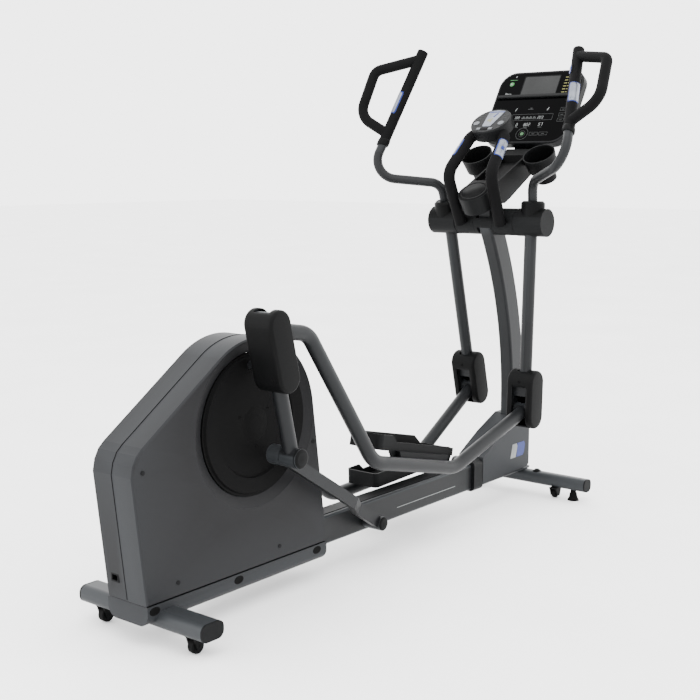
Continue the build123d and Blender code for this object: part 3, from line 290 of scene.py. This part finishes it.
def prism(name, outline, place, low, high, finish, body):
    """A closed outline in a frame's XY plane, raised from low to high along its Z."""
    count = len(outline)
    verts = [place @ Vector((x, y, z)) for z in (low, high) for x, y in outline]
    faces = [tuple(range(count))[::-1], tuple(range(count, 2 * count))]
    faces += [(i, (i + 1) % count, count + (i + 1) % count, count + i) for i in range(count)]
    return piece(name, verts, faces, finish, body, bevel=0.0004)


def several(name, outlines, place, low, high, finish, body):
    """Many small raised outlines as one piece."""
    verts, faces = [], []
    for outline in outlines:
        count, base = len(outline), len(verts)
        verts += [place @ Vector((x, y, z)) for z in (low, high) for x, y in outline]
        faces.append(tuple(range(base, base + count))[::-1])
        faces.append(tuple(range(base + count, base + 2 * count)))
        faces += [
            (base + i, base + (i + 1) % count, base + count + (i + 1) % count, base + count + i)
            for i in range(count)
        ]
    return piece(name, verts, faces, finish, body, smooth=False)


def rounded(wide, tall, radius, at=(0, 0), steps=6):
    """A rounded rectangle outline."""
    points = []
    for k, (sx, sy) in enumerate(((1, 1), (-1, 1), (-1, -1), (1, -1))):
        cx, cy = at[0] + sx * (wide / 2 - radius), at[1] + sy * (tall / 2 - radius)
        for i in range(steps + 1):
            a = math.radians(90 * k + 90 * i / steps)
            points.append((cx + radius * math.cos(a), cy + radius * math.sin(a)))
    return points


def circle(radius, at=(0, 0), steps=40):
    turns = [2 * math.pi * i / steps for i in range(steps)]
    return [(at[0] + radius * math.cos(a), at[1] + radius * math.sin(a)) for a in turns]


def bar(x, y, wide, tall, lean=0.0):
    """A small slanted rectangle."""
    return [(x, y), (x + wide, y), (x + wide + lean * tall, y + tall), (x + lean * tall, y + tall)]


def lathe(name, profile, place, finish, body, steps=64):
    """A profile of (radius, height) turned round a frame's Z."""
    verts, faces = [], []
    for radius, height in profile:
        for i in range(steps):
            a = 2 * math.pi * i / steps
            verts.append(place @ Vector((radius * math.cos(a), radius * math.sin(a), height)))
    for row in range(len(profile) - 1):
        for i in range(steps):
            j = (i + 1) % steps
            faces.append((row * steps + i, row * steps + j, (row + 1) * steps + j, (row + 1) * steps + i))
    if profile[0][0] > 1e-6:
        faces.append(tuple(range(steps))[::-1])
    if profile[-1][0] > 1e-6:
        faces.append(tuple(range((len(profile) - 1) * steps, len(profile) * steps)))
    return piece(name, verts, faces, finish, body)


def lateral_frame(at, y, hand):
    """A frame whose Z points out of the machine on one side, with X forward."""
    return axes_frame((at[0], y, at[1]), (1, 0, 0), (0, hand, 0))


def at_local(base, x, y, z):
    return base @ Vector((x, y, z))


# ---------------------------------------------------------------- moulded casings
def casing(name, base, low, high, radius, hand, body, node, holes):
    """A soft-edged moulded casing. holes are boxes in its frame, as (x, y, z) ranges, left open."""
    inner, outer, soft = 0.1156, 0.2144, 0.009
    bends = [math.pi / 2 * k / 6 for k in range(7)]
    rows = [(inner + soft * (1 - math.cos(a)), soft * (1 - math.sin(a))) for a in bends]
    flat = [(inner + soft + (outer - inner - 2 * soft) * k / 12, 0.0) for k in range(1, 12)]
    rows = rows + flat + [(outer + inner - y, inset) for y, inset in rows[::-1]]
    mid = (low + high) / 2
    straight = (high - low) / 2 - radius
    around = []
    for k in range(25):
        a = math.pi * k / 24
        around.append((math.cos(a), math.sin(a), 1))
    for k in range(1, 16):
        around.append((-1, 1 - 2 * k / 16, 0))
    for k in range(25):
        a = math.pi + math.pi * k / 24
        around.append((math.cos(a), math.sin(a), -1))
    for k in range(1, 16):
        around.append((1, -1 + 2 * k / 16, 0))

    def point(spot, inset, y):
        cx, sz, end = spot
        r = radius - inset
        z = mid + (end * straight + sz * r if end else sz * straight)
        return Vector((cx * r, hand * y, z))

    def open_here(v):
        return any(
            hx[0] <= v.x <= hx[1] and hy[0] <= abs(v.y) <= hy[1] and hz[0] <= v.z <= hz[1]
            for hx, hy, hz in holes
        )

    local, faces, count = [], [], len(around)
    for y, inset in rows:
        local += [point(spot, inset, y) for spot in around]
    for row in range(len(rows) - 1):
        for i in range(count):
            j = (i + 1) % count
            quad = (row * count + i, row * count + j, (row + 1) * count + j, (row + 1) * count + i)
            centre = sum((local[q] for q in quad), Vector()) / 4
            if not open_here(centre):
                faces.append(quad if hand < 0 else quad[::-1])
    faces.append(tuple(range(count)) if hand > 0 else tuple(range(count))[::-1])
    last = (len(rows) - 1) * count
    cap = tuple(range(last, last + count))
    faces.append(cap[::-1] if hand > 0 else cap)
    obj = piece(name, [base @ v for v in local], faces, BLACK, body, thick=0.003)
    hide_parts(node)
    return obj


for side, hand in SIDES.items():
    arm = side_frame(ARM_PIVOT, ARM_TURN[side])
    coupler = side_frame(HUB_AT[side], COUPLER_TURN[side])
    lever = side_frame(LEVER_AT[side], LEVER_TURN[side])
    slot_y = (0.140, 0.190)
    casing(
        f"front_casing_shell_{side}", arm, -0.700, -0.500, 0.0422, hand, f"{side}_arm",
        f"front_casing_{side}",
        [((-0.05, -0.012), slot_y, (-0.690, -0.556)), ((-0.022, 0.022), (0.143, 0.187), (-0.51, -0.49))],
    )
    casing(
        f"rear_casing_shell_{side}", coupler, 0.190, 0.415, 0.0397, hand, f"{side}_coupler",
        f"rear_casing_{side}", [
            ((0.0, 0.06), slot_y, (0.290, 0.43)), ((-0.016, 0.02), slot_y, (0.40, 0.43)),
            ((-0.022, 0.022), (0.143, 0.187), (0.18, 0.20)),
        ],
    )

# ---------------------------------------------------------------- console face
PRINT_LOW, PRINT_HIGH = 0.0006, 0.0013
SEGMENTS = {
    0: "abcdef", 1: "bc", 2: "abged", 3: "abgcd", 4: "fgbc", 5: "afgcd", 6: "afgedc", 7: "abc",
    8: "abcdefg", 9: "abcdfg",
}


def digit(value, x, y, tall):
    """Seven-segment digit as small outlines."""
    wide, t = tall * 0.5, tall * 0.11
    bars = {
        "a": (0, tall - t, wide, t), "g": (0, tall / 2 - t / 2, wide, t), "d": (0, 0, wide, t),
        "f": (0, tall / 2, t, tall / 2), "e": (0, 0, t, tall / 2),
        "b": (wide - t, tall / 2, t, tall / 2), "c": (wide - t, 0, t, tall / 2),
    }
    made = []
    for key in SEGMENTS[value]:
        bx, by, bw, bh = bars[key]
        made.append([(x + px + 0.14 * py, y + py) for px, py in (
            (bx, by), (bx + bw, by), (bx + bw, by + bh), (bx, by + bh))])
    return made


def number(text, x, y, tall):
    made = []
    for k, c in enumerate(text):
        made += digit(int(c), x + k * tall * 0.72, y, tall)
    return made


def frame_lines(x, y, wide, tall, line=0.0008):
    return [
        bar(x, y, wide, line), bar(x, y + tall - line, wide, line), bar(x, y, line, tall),
        bar(x + wide - line, y, line, tall),
    ]


def ring_lines(x, y, radius, line=0.0009):
    made, steps = [], 36
    for i in range(steps):
        a, b = 2 * math.pi * i / steps, 2 * math.pi * (i + 1) / steps
        made.append([
            (x + radius * math.cos(a), y + radius * math.sin(a)),
            (x + radius * math.cos(b), y + radius * math.sin(b)),
            (x + (radius - line) * math.cos(b), y + (radius - line) * math.sin(b)),
            (x + (radius - line) * math.cos(a), y + (radius - line) * math.sin(a)),
        ])
    return made


prism(
    "console_screen", rounded(0.142, 0.078, 0.004, (0.002, 0.089)), CONSOLE, 0.0004, 0.0014, SCREEN,
    "frame"
)
several(
    "console_screen_rim", frame_lines(-0.0715, 0.0475, 0.147, 0.083, 0.0016), CONSOLE, PRINT_LOW, 0.0018,
    TRIM, "frame",
)
rows = number("100", -0.062, -0.052, 0.011) + number("203", 0.034, -0.052, 0.011)
rows += number("0", -0.046, -0.082, 0.013) + number("802", -0.014, -0.082, 0.013)
rows += number("57", 0.046, -0.082, 0.013)
several("console_digits", rows, CONSOLE, PRINT_LOW, PRINT_HIGH, PRINT, "frame")
graph = [
    bar(-0.030 + 0.0042 * k, -0.052, 0.0028, 0.003 + 0.008 * abs(math.sin(k * 0.9 + 0.4)))
    for k in range(14)
]
graph += frame_lines(-0.074, -0.058, 0.168, 0.026)
graph += [
    bar(-0.046, -0.088, 0.012, 0.0016), bar(-0.012, -0.088, 0.016, 0.0016),
    bar(0.048, -0.088, 0.014, 0.0016)
]
graph += ring_lines(-0.008, -0.114, 0.024) + ring_lines(-0.008, -0.114, 0.013, 0.0006)
graph += frame_lines(0.022, -0.121, 0.034, 0.013) + frame_lines(0.060, -0.121, 0.034, 0.013)
graph += [bar(0.031, -0.116, 0.012, 0.0014), bar(0.070, -0.116, 0.012, 0.0014)]
for k in range(3):
    for x in (0.116, -0.146):
        graph += frame_lines(x, -0.022 - 0.022 * k, 0.026, 0.014)
        graph += [bar(x + 0.007, -0.016 - 0.022 * k, 0.011, 0.0014)]
graph += [bar(-0.016, -0.012, 0.022, 0.0016), bar(-0.008, -0.008, 0.008, 0.0022)]
several("console_guides", graph, CONSOLE, PRINT_LOW, PRINT_HIGH, DIM, "frame")
marks = [
    bar(-0.068, -0.018, 0.003, 0.012, 0.4), bar(0.062, -0.018, 0.003, 0.012, 0.4),
    bar(-0.112, 0.128, 0.004, 0.006, 0.3)
]
marks += [bar(-0.135, 0.056, 0.026, 0.0022, 0.2), bar(-0.135, 0.060, 0.010, 0.0016, 0.2)]
several("console_marks", marks, CONSOLE, PRINT_LOW, PRINT_HIGH, PRINT, "frame")
side_keys = []
for k in range(6):
    y = 0.056 + 0.0125 * k
    side_keys += [bar(0.096, y, 0.012, 0.0022, 0.2), bar(0.112, y, 0.005, 0.0022, 0.2)]
several("console_side_keys", side_keys, CONSOLE, PRINT_LOW, PRINT_HIGH, YELLOW, "frame")
prism(
    "console_dial_mark", circle(0.007, (-0.008, -0.114), 24), CONSOLE, PRINT_LOW, 0.0014, GREEN, "frame",
)
several(
    "console_green_mark", [bar(-0.132, 0.116, 0.030, 0.002, 0.2)], CONSOLE, PRINT_LOW, PRINT_HIGH, GREEN,
    "frame"
)
several(
    "start_mark", [[(-0.1215, 0.0935), (-0.1135, 0.098), (-0.1215, 0.1025)]], CONSOLE, 0.0038, 0.0043,
    PRINT, "start",
)

# ---------------------------------------------------------------- key pod and drum
prism(
    "pod_panel", [(-0.036, 0.016), (-0.036, -0.016), (0.056, -0.031), (0.061, 0.0), (0.056, 0.031)], POD,
    -0.0004, 0.0012, SILVER, "frame",
)
several(
    "pod_panel_lines", [
        [(0.048, -0.029), (0.053, -0.0295), (0.053, 0.0295), (0.048, 0.029)],
        [(0.019, -0.005), (0.043, -0.011), (0.044, -0.006), (0.020, 0.001)],
    ], POD, 0.0008, 0.0016, BLUE, "frame",
)
several(
    "pod_panel_figure", [bar(-0.012, -0.004, 0.022, 0.005, 0.3), bar(-0.003, 0.004, 0.012, 0.007, -0.5)],
    POD, 0.0008, 0.0016, YELLOW, "frame",
)
several(
    "pod_keys", [bar(-0.055, 0.016, 0.011, 0.014), bar(-0.055, -0.030, 0.011, 0.014)], POD, -0.0004, 0.0016,
    KEY, "frame",
)
prism(
    "pod_display", rounded(0.013, 0.026, 0.002, (-0.051, 0)), POD, -0.0004, 0.0010, GLOSS, "frame",
)
pod_lines = []
for k in range(4):
    for side in (1, -1):
        pod_lines.append(bar(0.004 + 0.010 * k, side * 0.048 - 0.007, 0.0014, 0.014))
several("pod_guides", pod_lines, POD, -0.0002, 0.0006, DIM, "frame")
lathe(
    "pod_rim", [(0.0672, -0.003), (0.0680, 0.0006), (0.0690, 0.0006), (0.0710, -0.0022)], POD, TRIM,
    "frame"
)
lathe(
    "drum_lid",
    [(0.0, 0.0032), (0.041, 0.0032), (0.0415, 0.0022), (0.043, 0.0022), (0.0435, 0.0032), (0.049, 0.0026),
    (0.0525, 0.0006), (0.0528, -0.001)], DRUM, BLACK, "frame",
)

# ---------------------------------------------------------------- sensor plates on the grips
def wrap(name, low, top, radius, toward, centre, half, sweep, finish, body, rim):
    """A curved plate on a round bar from low to top, its middle facing toward."""
    axis = (top - low).normalized()
    face = (toward - axis * toward.dot(axis)).normalized()
    across = axis.cross(face)
    length = (top - low).length
    steps, rows = 14, 10
    verts, faces = [], []
    for layer in (0.0, rim):
        for j in range(rows + 1):
            along = centre * length - half + 2 * half * j / rows
            taper = 1.0 - 0.10 * max(0.0, abs(2 * j / rows - 1) - 0.8) / 0.2
            for i in range(steps + 1):
                a = math.radians(sweep * (i / steps - 0.5) * taper)
                r = radius + layer
                verts.append(low + axis * along + face * (r * math.cos(a)) + across * (r * math.sin(a)))
    size = (rows + 1) * (steps + 1)
    for layer in (0, 1):
        for j in range(rows):
            for i in range(steps):
                q = [layer * size + j * (steps + 1) + i + d for d in (0, 1, steps + 2, steps + 1)]
                faces.append(tuple(q) if layer else tuple(q[::-1]))
    border = [i for i in range(steps + 1)] + [(j + 1) * (steps + 1) + steps for j in range(rows)]
    border += [rows * (steps + 1) + steps - 1 - i for i in range(steps)]
    border += [(rows - 1 - j) * (steps + 1) for j in range(rows - 1)]
    for k, b in enumerate(border):
        c = border[(k + 1) % len(border)]
        faces.append((b, c, size + c, size + b))
    return piece(name, verts, faces, finish, body)


for side, hand in SIDES.items():
    arm = side_frame(ARM_PIVOT, ARM_TURN[side])
    low = at_local(arm, GRIP_LOW[0], hand * GRIP_LOW[1], GRIP_LOW[2])
    top = at_local(arm, GRIP_TOP[0], hand * GRIP_TOP[1], GRIP_TOP[2])
    rear = arm.to_3x3() @ Vector((-0.77, hand * 0.62, 0.2))
    wrap(
        f"sensor_edge_{side}", low, top, GRIP_R, rear, 0.43, 0.041, 128, BLUE, f"{side}_arm",
        0.0006
    )
    wrap(
        f"sensor_{side}", low, top, 0.0194, rear, 0.43, 0.038, 100, SILVER, f"{side}_arm",
        0.0008
    )
    ring = axes_frame(low, arm.to_3x3() @ Vector((0, 1, 0)), top - low)
    lathe(
        f"grip_collar_{side}",
        [(0.0170, -0.006), (0.0200, -0.005), (0.0212, 0.0), (0.0212, 0.012), (0.0200, 0.017),
        (0.0190, 0.018)], ring, BLACK, f"{side}_arm",
    )
    foot = Vector((0.515, hand * 0.086, 1.165))
    head = Vector((0.640, hand * 0.066, 1.300))
    outward = Vector((-0.5, hand * 0.85, 0.2))
    wrap(
        f"bar_sensor_edge_{side}", foot, head, 0.0200, outward, 0.56, 0.037, 128, BLUE, "frame",
        0.0006
    )
    wrap(
        f"bar_sensor_{side}", foot, head, 0.0204, outward, 0.56, 0.034, 100, SILVER, "frame",
        0.0008
    )
    wrap(
        f"bar_sensor_mark_{side}", foot, head, 0.0211, outward, 0.56, 0.007, 34, BLUE, "frame",
        0.0006
    )

# ---------------------------------------------------------------- caps, screws and pedal treads
CAP = [
    (0.0, 0.0042), (0.017, 0.0040), (0.0225, 0.0030), (0.0255, 0.0010), (0.0268, -0.0015), (0.0272, -0.006)
]
SCREW = [
    (0.0, -0.0006), (0.0016, -0.0006), (0.0019, 0.0006), (0.0036, 0.0012), (0.0044, 0.0008),
    (0.0048, -0.0004)
]
for side, hand in SIDES.items():
    arm = side_frame(ARM_PIVOT, ARM_TURN[side])
    coupler = side_frame(HUB_AT[side], COUPLER_TURN[side])
    lever = side_frame(LEVER_AT[side], LEVER_TURN[side])
    lathe(
        f"hub_cap_{side}", CAP, lateral_frame(HUB_AT[side], hand * 0.200, hand), BLACK, f"{side}_coupler",
    )
    small = [(r * 0.79, h) for r, h in CAP]
    lathe(
        f"link_cap_{side}", small, lateral_frame(LINK_AT, hand * 0.106, hand), BLACK, f"{side}_link",
    )
    backward = arm.to_3x3() @ Vector((-1, 0, 0))
    spot = axes_frame(at_local(arm, -0.0422, hand * 0.165, -0.538), (0, 1, 0), backward)
    # the casing screws are dark spots of painted shade standing in for screw holes
    lathe(f"front_casing_screw_{side}", SCREW, spot, JOINT_AND_HOLE_SHADE, f"{side}_arm", 24)
    backward = coupler.to_3x3() @ Vector((-1, 0, 0))
    spot = axes_frame(at_local(coupler, -0.0397, hand * 0.186, 0.238), (0, 1, 0), backward)
    lathe(f"rear_casing_screw_{side}", SCREW, spot, JOINT_AND_HOLE_SHADE, f"{side}_coupler", 24)
    middle = at_local(lever, PEDAL_AT[0], 0, PEDAL_AT[1])
    pedal = side_frame((middle.x, middle.z), LEVER_TURN[side] + PEDAL_TURN)
    ribs = []
    for k in range(9):
        y = hand * PEDAL_Y + (k - 4) * 0.0115
        ribs.append([(-0.182, y - 0.003), (0.178, y - 0.003), (0.178, y + 0.003), (-0.182, y + 0.003)])
    several(f"pedal_tread_{side}", ribs, pedal, 0.0415, 0.0440, RUBBER, f"{side}_lever")
    prism(
        f"pedal_pad_{side}", rounded(0.372, 0.104, 0.012, (-0.002, hand * PEDAL_Y)), pedal, 0.0412, 0.0426,
        RUBBER, f"{side}_lever",
    )
for side, hand in SIDES.items():
    bolt = axes_frame((0.882, hand * 0.078, 0.084), (1, 0, 0), (0, 0, 1))
    lathe(
        f"foot_bolt_{side}",
        [(0.0, 0.007), (0.007, 0.007), (0.010, 0.005), (0.011, 0.0015), (0.016, 0.0008), (0.016, -0.002)],
        bolt, BLACK, "frame", 24,
    )


# ---------------------------------------------------------------- shroud seam, recesses and plain marks
def touch(point, radius, turn):
    dx, dz = point[0] - CRANK[0], point[1] - CRANK[1]
    return math.atan2(dz, dx) + turn * math.acos(radius / math.hypot(dx, dz))


def seam(name, points, half, finish, body):
    """A narrow band across the machine's middle that follows a side-view line."""
    verts, faces = [], []
    for k, (x, z) in enumerate(points):
        before, after = points[max(k - 1, 0)], points[min(k + 1, len(points) - 1)]
        run = Vector((after[0] - before[0], after[1] - before[1])).normalized()
        out = Vector((-run.y, run.x))
        for h in (-0.0012, SEAM_LIFT):
            for y in (-half, half):
                verts.append(Vector((x + out.x * h, y, z + out.y * h)))
    for k in range(len(points) - 1):
        a, b = 4 * k, 4 * k + 4
        faces += [
            (a + 2, b + 2, b + 3, a + 3), (a, a + 1, b + 1, b), (a, b, b + 2, a + 2),
            (a + 1, a + 3, b + 3, b + 1)
        ]
    faces += [(0, 2, 3, 1), (len(verts) - 4, len(verts) - 3, len(verts) - 1, len(verts) - 2)]
    return piece(name, verts, faces, finish, body, smooth=False)


start = touch((-0.324, 0.186), CROWN_R, 1)
end = touch((-1.0057, 0.5153), CROWN_R, -1)
crown = [start + (end - start) * k / 40 for k in range(41)]
outline = [(-0.320, 0.117), (-0.324, 0.186)]
outline += [(CRANK[0] + CROWN_R * math.cos(a), CRANK[1] + CROWN_R * math.sin(a)) for a in crown]
outline += [(-1.0057, 0.5153), (-1.024, 0.499), (-1.037, 0.475), (-1.043, 0.446), (-1.004, 0.117)]
seam("shroud_seam", outline, 0.0007, JOINT_AND_HOLE_SHADE, "frame")
# the shroud's screw recesses are flat dark ovals, painted shade in place of hollows
RECESS = [(0.0, 0.0003), (0.0095, 0.0004), (0.0112, 0.0005), (0.0124, 0.0007), (0.0134, -0.0004)]
for side, hand in SIDES.items():
    for k, (x, z) in enumerate(((-0.980, 0.098), (-0.682, 0.097), (-0.361, 0.098))):
        spot = lateral_frame((x, z), hand * SHROUD_HALF, hand)
        spot = spot @ Matrix.Diagonal((1.35, 0.85, 1.0, 1.0))
        lathe(f"base_recess_{side}_{k}", RECESS, spot, JOINT_AND_HOLE_SHADE, "frame", 32)
    disc = lateral_frame(CRANK, hand * 0.0661, hand)
    for k in range(3):
        a = math.radians(35 + 120 * k)
        spot = disc @ Matrix.Translation((0.062 * math.cos(a), 0.062 * math.sin(a), 0.0))
        # the disc screws are dark spots of painted shade standing in for screw holes
        lathe(f"disc_screw_{side}_{k}", SCREW, spot, JOINT_AND_HOLE_SHADE, "crank", 20)
    lathe(
        f"disc_hub_{side}",
        [(0.0, 0.0040), (0.020, 0.0038), (0.028, 0.0028), (0.034, 0.0010), (0.046, 0.0004),
        (0.048, -0.001)], disc, DISC, "crank",
    )
    left = [(0.738, 0.151), (0.774, 0.151), (0.786, 0.190), (0.780, 0.201), (0.752, 0.201)]
    right = [(0.779, 0.151), (0.822, 0.151), (0.831, 0.160), (0.838, 0.190), (0.831, 0.201), (0.786, 0.201)]
    prints = (("pale", left, PRINT, "key_grey"), ("blue", right, BLUE, "switch_blue"))
    for name, shape, finish, slot in prints:
        verts = [
            Vector((x, hand * y, z)) for y in (FAIRING_HALF - 0.0004, FAIRING_HALF + 0.0006) for x, z in shape
        ]
        n = len(shape)
        faces = [tuple(range(n)), tuple(range(n, 2 * n))[::-1]]
        faces += [(i, n + i, n + (i + 1) % n, (i + 1) % n) for i in range(n)]
        piece(f"fairing_mark_{name}_{side}", verts, faces, finish, "frame", smooth=False)

    # a plain pale line along the rail's side
    line = ((0.076, 0.117), (0.405, 0.117), (0.405, 0.1192), (0.076, 0.1192))
    verts = [Vector((x, hand * y, z)) for y in (RAIL_HALF - 0.0002, RAIL_HALF + 0.0004) for x, z in line]
    faces = [(0, 1, 2, 3), (7, 6, 5, 4)] + [(i, 4 + i, 4 + (i + 1) % 4, (i + 1) % 4) for i in range(4)]
    piece(f"rail_line_{side}", verts, faces, PRINT, "frame", smooth=False)

# ---------------------------------------------------------------- bezel round the thumb switch
arm = side_frame(ARM_PIVOT, ARM_TURN["right"])
low = at_local(arm, GRIP_LOW[0], -GRIP_LOW[1], GRIP_LOW[2])
top = at_local(arm, GRIP_TOP[0], -GRIP_TOP[1], GRIP_TOP[2])
out = (arm.to_3x3() @ Vector((-0.665, 0.70, 0.262))).normalized()
switch = axes_frame(low + (top - low) * SWITCH_SHARE + out * GRIP_R, top - low, out)
rim_outer, rim_inner = rounded(0.048, 0.025, 0.0124, steps=8), rounded(0.0345, 0.0145, 0.0072, steps=8)
n = len(rim_outer)
rims = ((rim_outer, -0.009), (rim_outer, -0.001), (rim_inner, 0.0012), (rim_inner, -0.009))
verts = [switch @ Vector((x, y, z)) for ring, z in rims for x, y in ring]
faces = []
for r in range(4):
    here, after = r * n, (r + 1) % 4 * n
    faces += [(here + i, here + (i + 1) % n, after + (i + 1) % n, after + i) for i in range(n)]
piece("switch_bezel", verts, faces, RUBBER, "right_arm", bevel=0.0012)

# ---------------------------------------------------------------- stage
floor_mat = material(
    "floor_pale", (0.88, 0.88, 0.88, 1), (0.93, 0.93, 0.93, 1), 0.75, grain=60, bump=0.01, blotch=1.5
)
bpy.ops.mesh.primitive_plane_add(size=60, location=(0, 0, -0.0005))
floor = bpy.context.object
floor.name = "studio_floor"
floor.data.materials.append(floor_mat)

world = bpy.data.worlds.new("studio")
bpy.context.scene.world = world
world.use_nodes = True
world.node_tree.nodes["Background"].inputs["Color"].default_value = (1, 1, 1, 1)
world.node_tree.nodes["Background"].inputs["Strength"].default_value = STUDIO_STRENGTH


def area(name, at, look, size, power):
    data = bpy.data.lights.new(name, "AREA")
    data.shape = "RECTANGLE"
    data.size, data.size_y = size
    data.energy = power
    lamp = bpy.data.objects.new(name, data)
    bpy.context.scene.collection.objects.link(lamp)
    lamp.location = at
    lamp.rotation_euler = (Vector(look) - Vector(at)).to_track_quat("-Z", "Y").to_euler()
    return lamp


area("key_light", (-1.6, -1.2, 4.2), (0, 0, 0.6), (3.0, 3.0), 90)
area("side_light", (-4.0, 1.5, 1.8), (0, 0, 0.7), (2.0, 2.0), 50)
area("front_light", (1.8, -3.6, 2.4), (0.2, 0, 0.6), (1.6, 2.4), 30)

camera_data = bpy.data.cameras.new("camera")
camera_data.lens = 61.5
camera_data.sensor_width = 36
camera = bpy.data.objects.new("camera", camera_data)
bpy.context.scene.collection.objects.link(camera)
camera.location = (-2.882, -2.224, 1.184)
camera.rotation_euler = (math.radians(90 - 8.664), 0, math.radians(-51.185))
bpy.context.scene.camera = camera
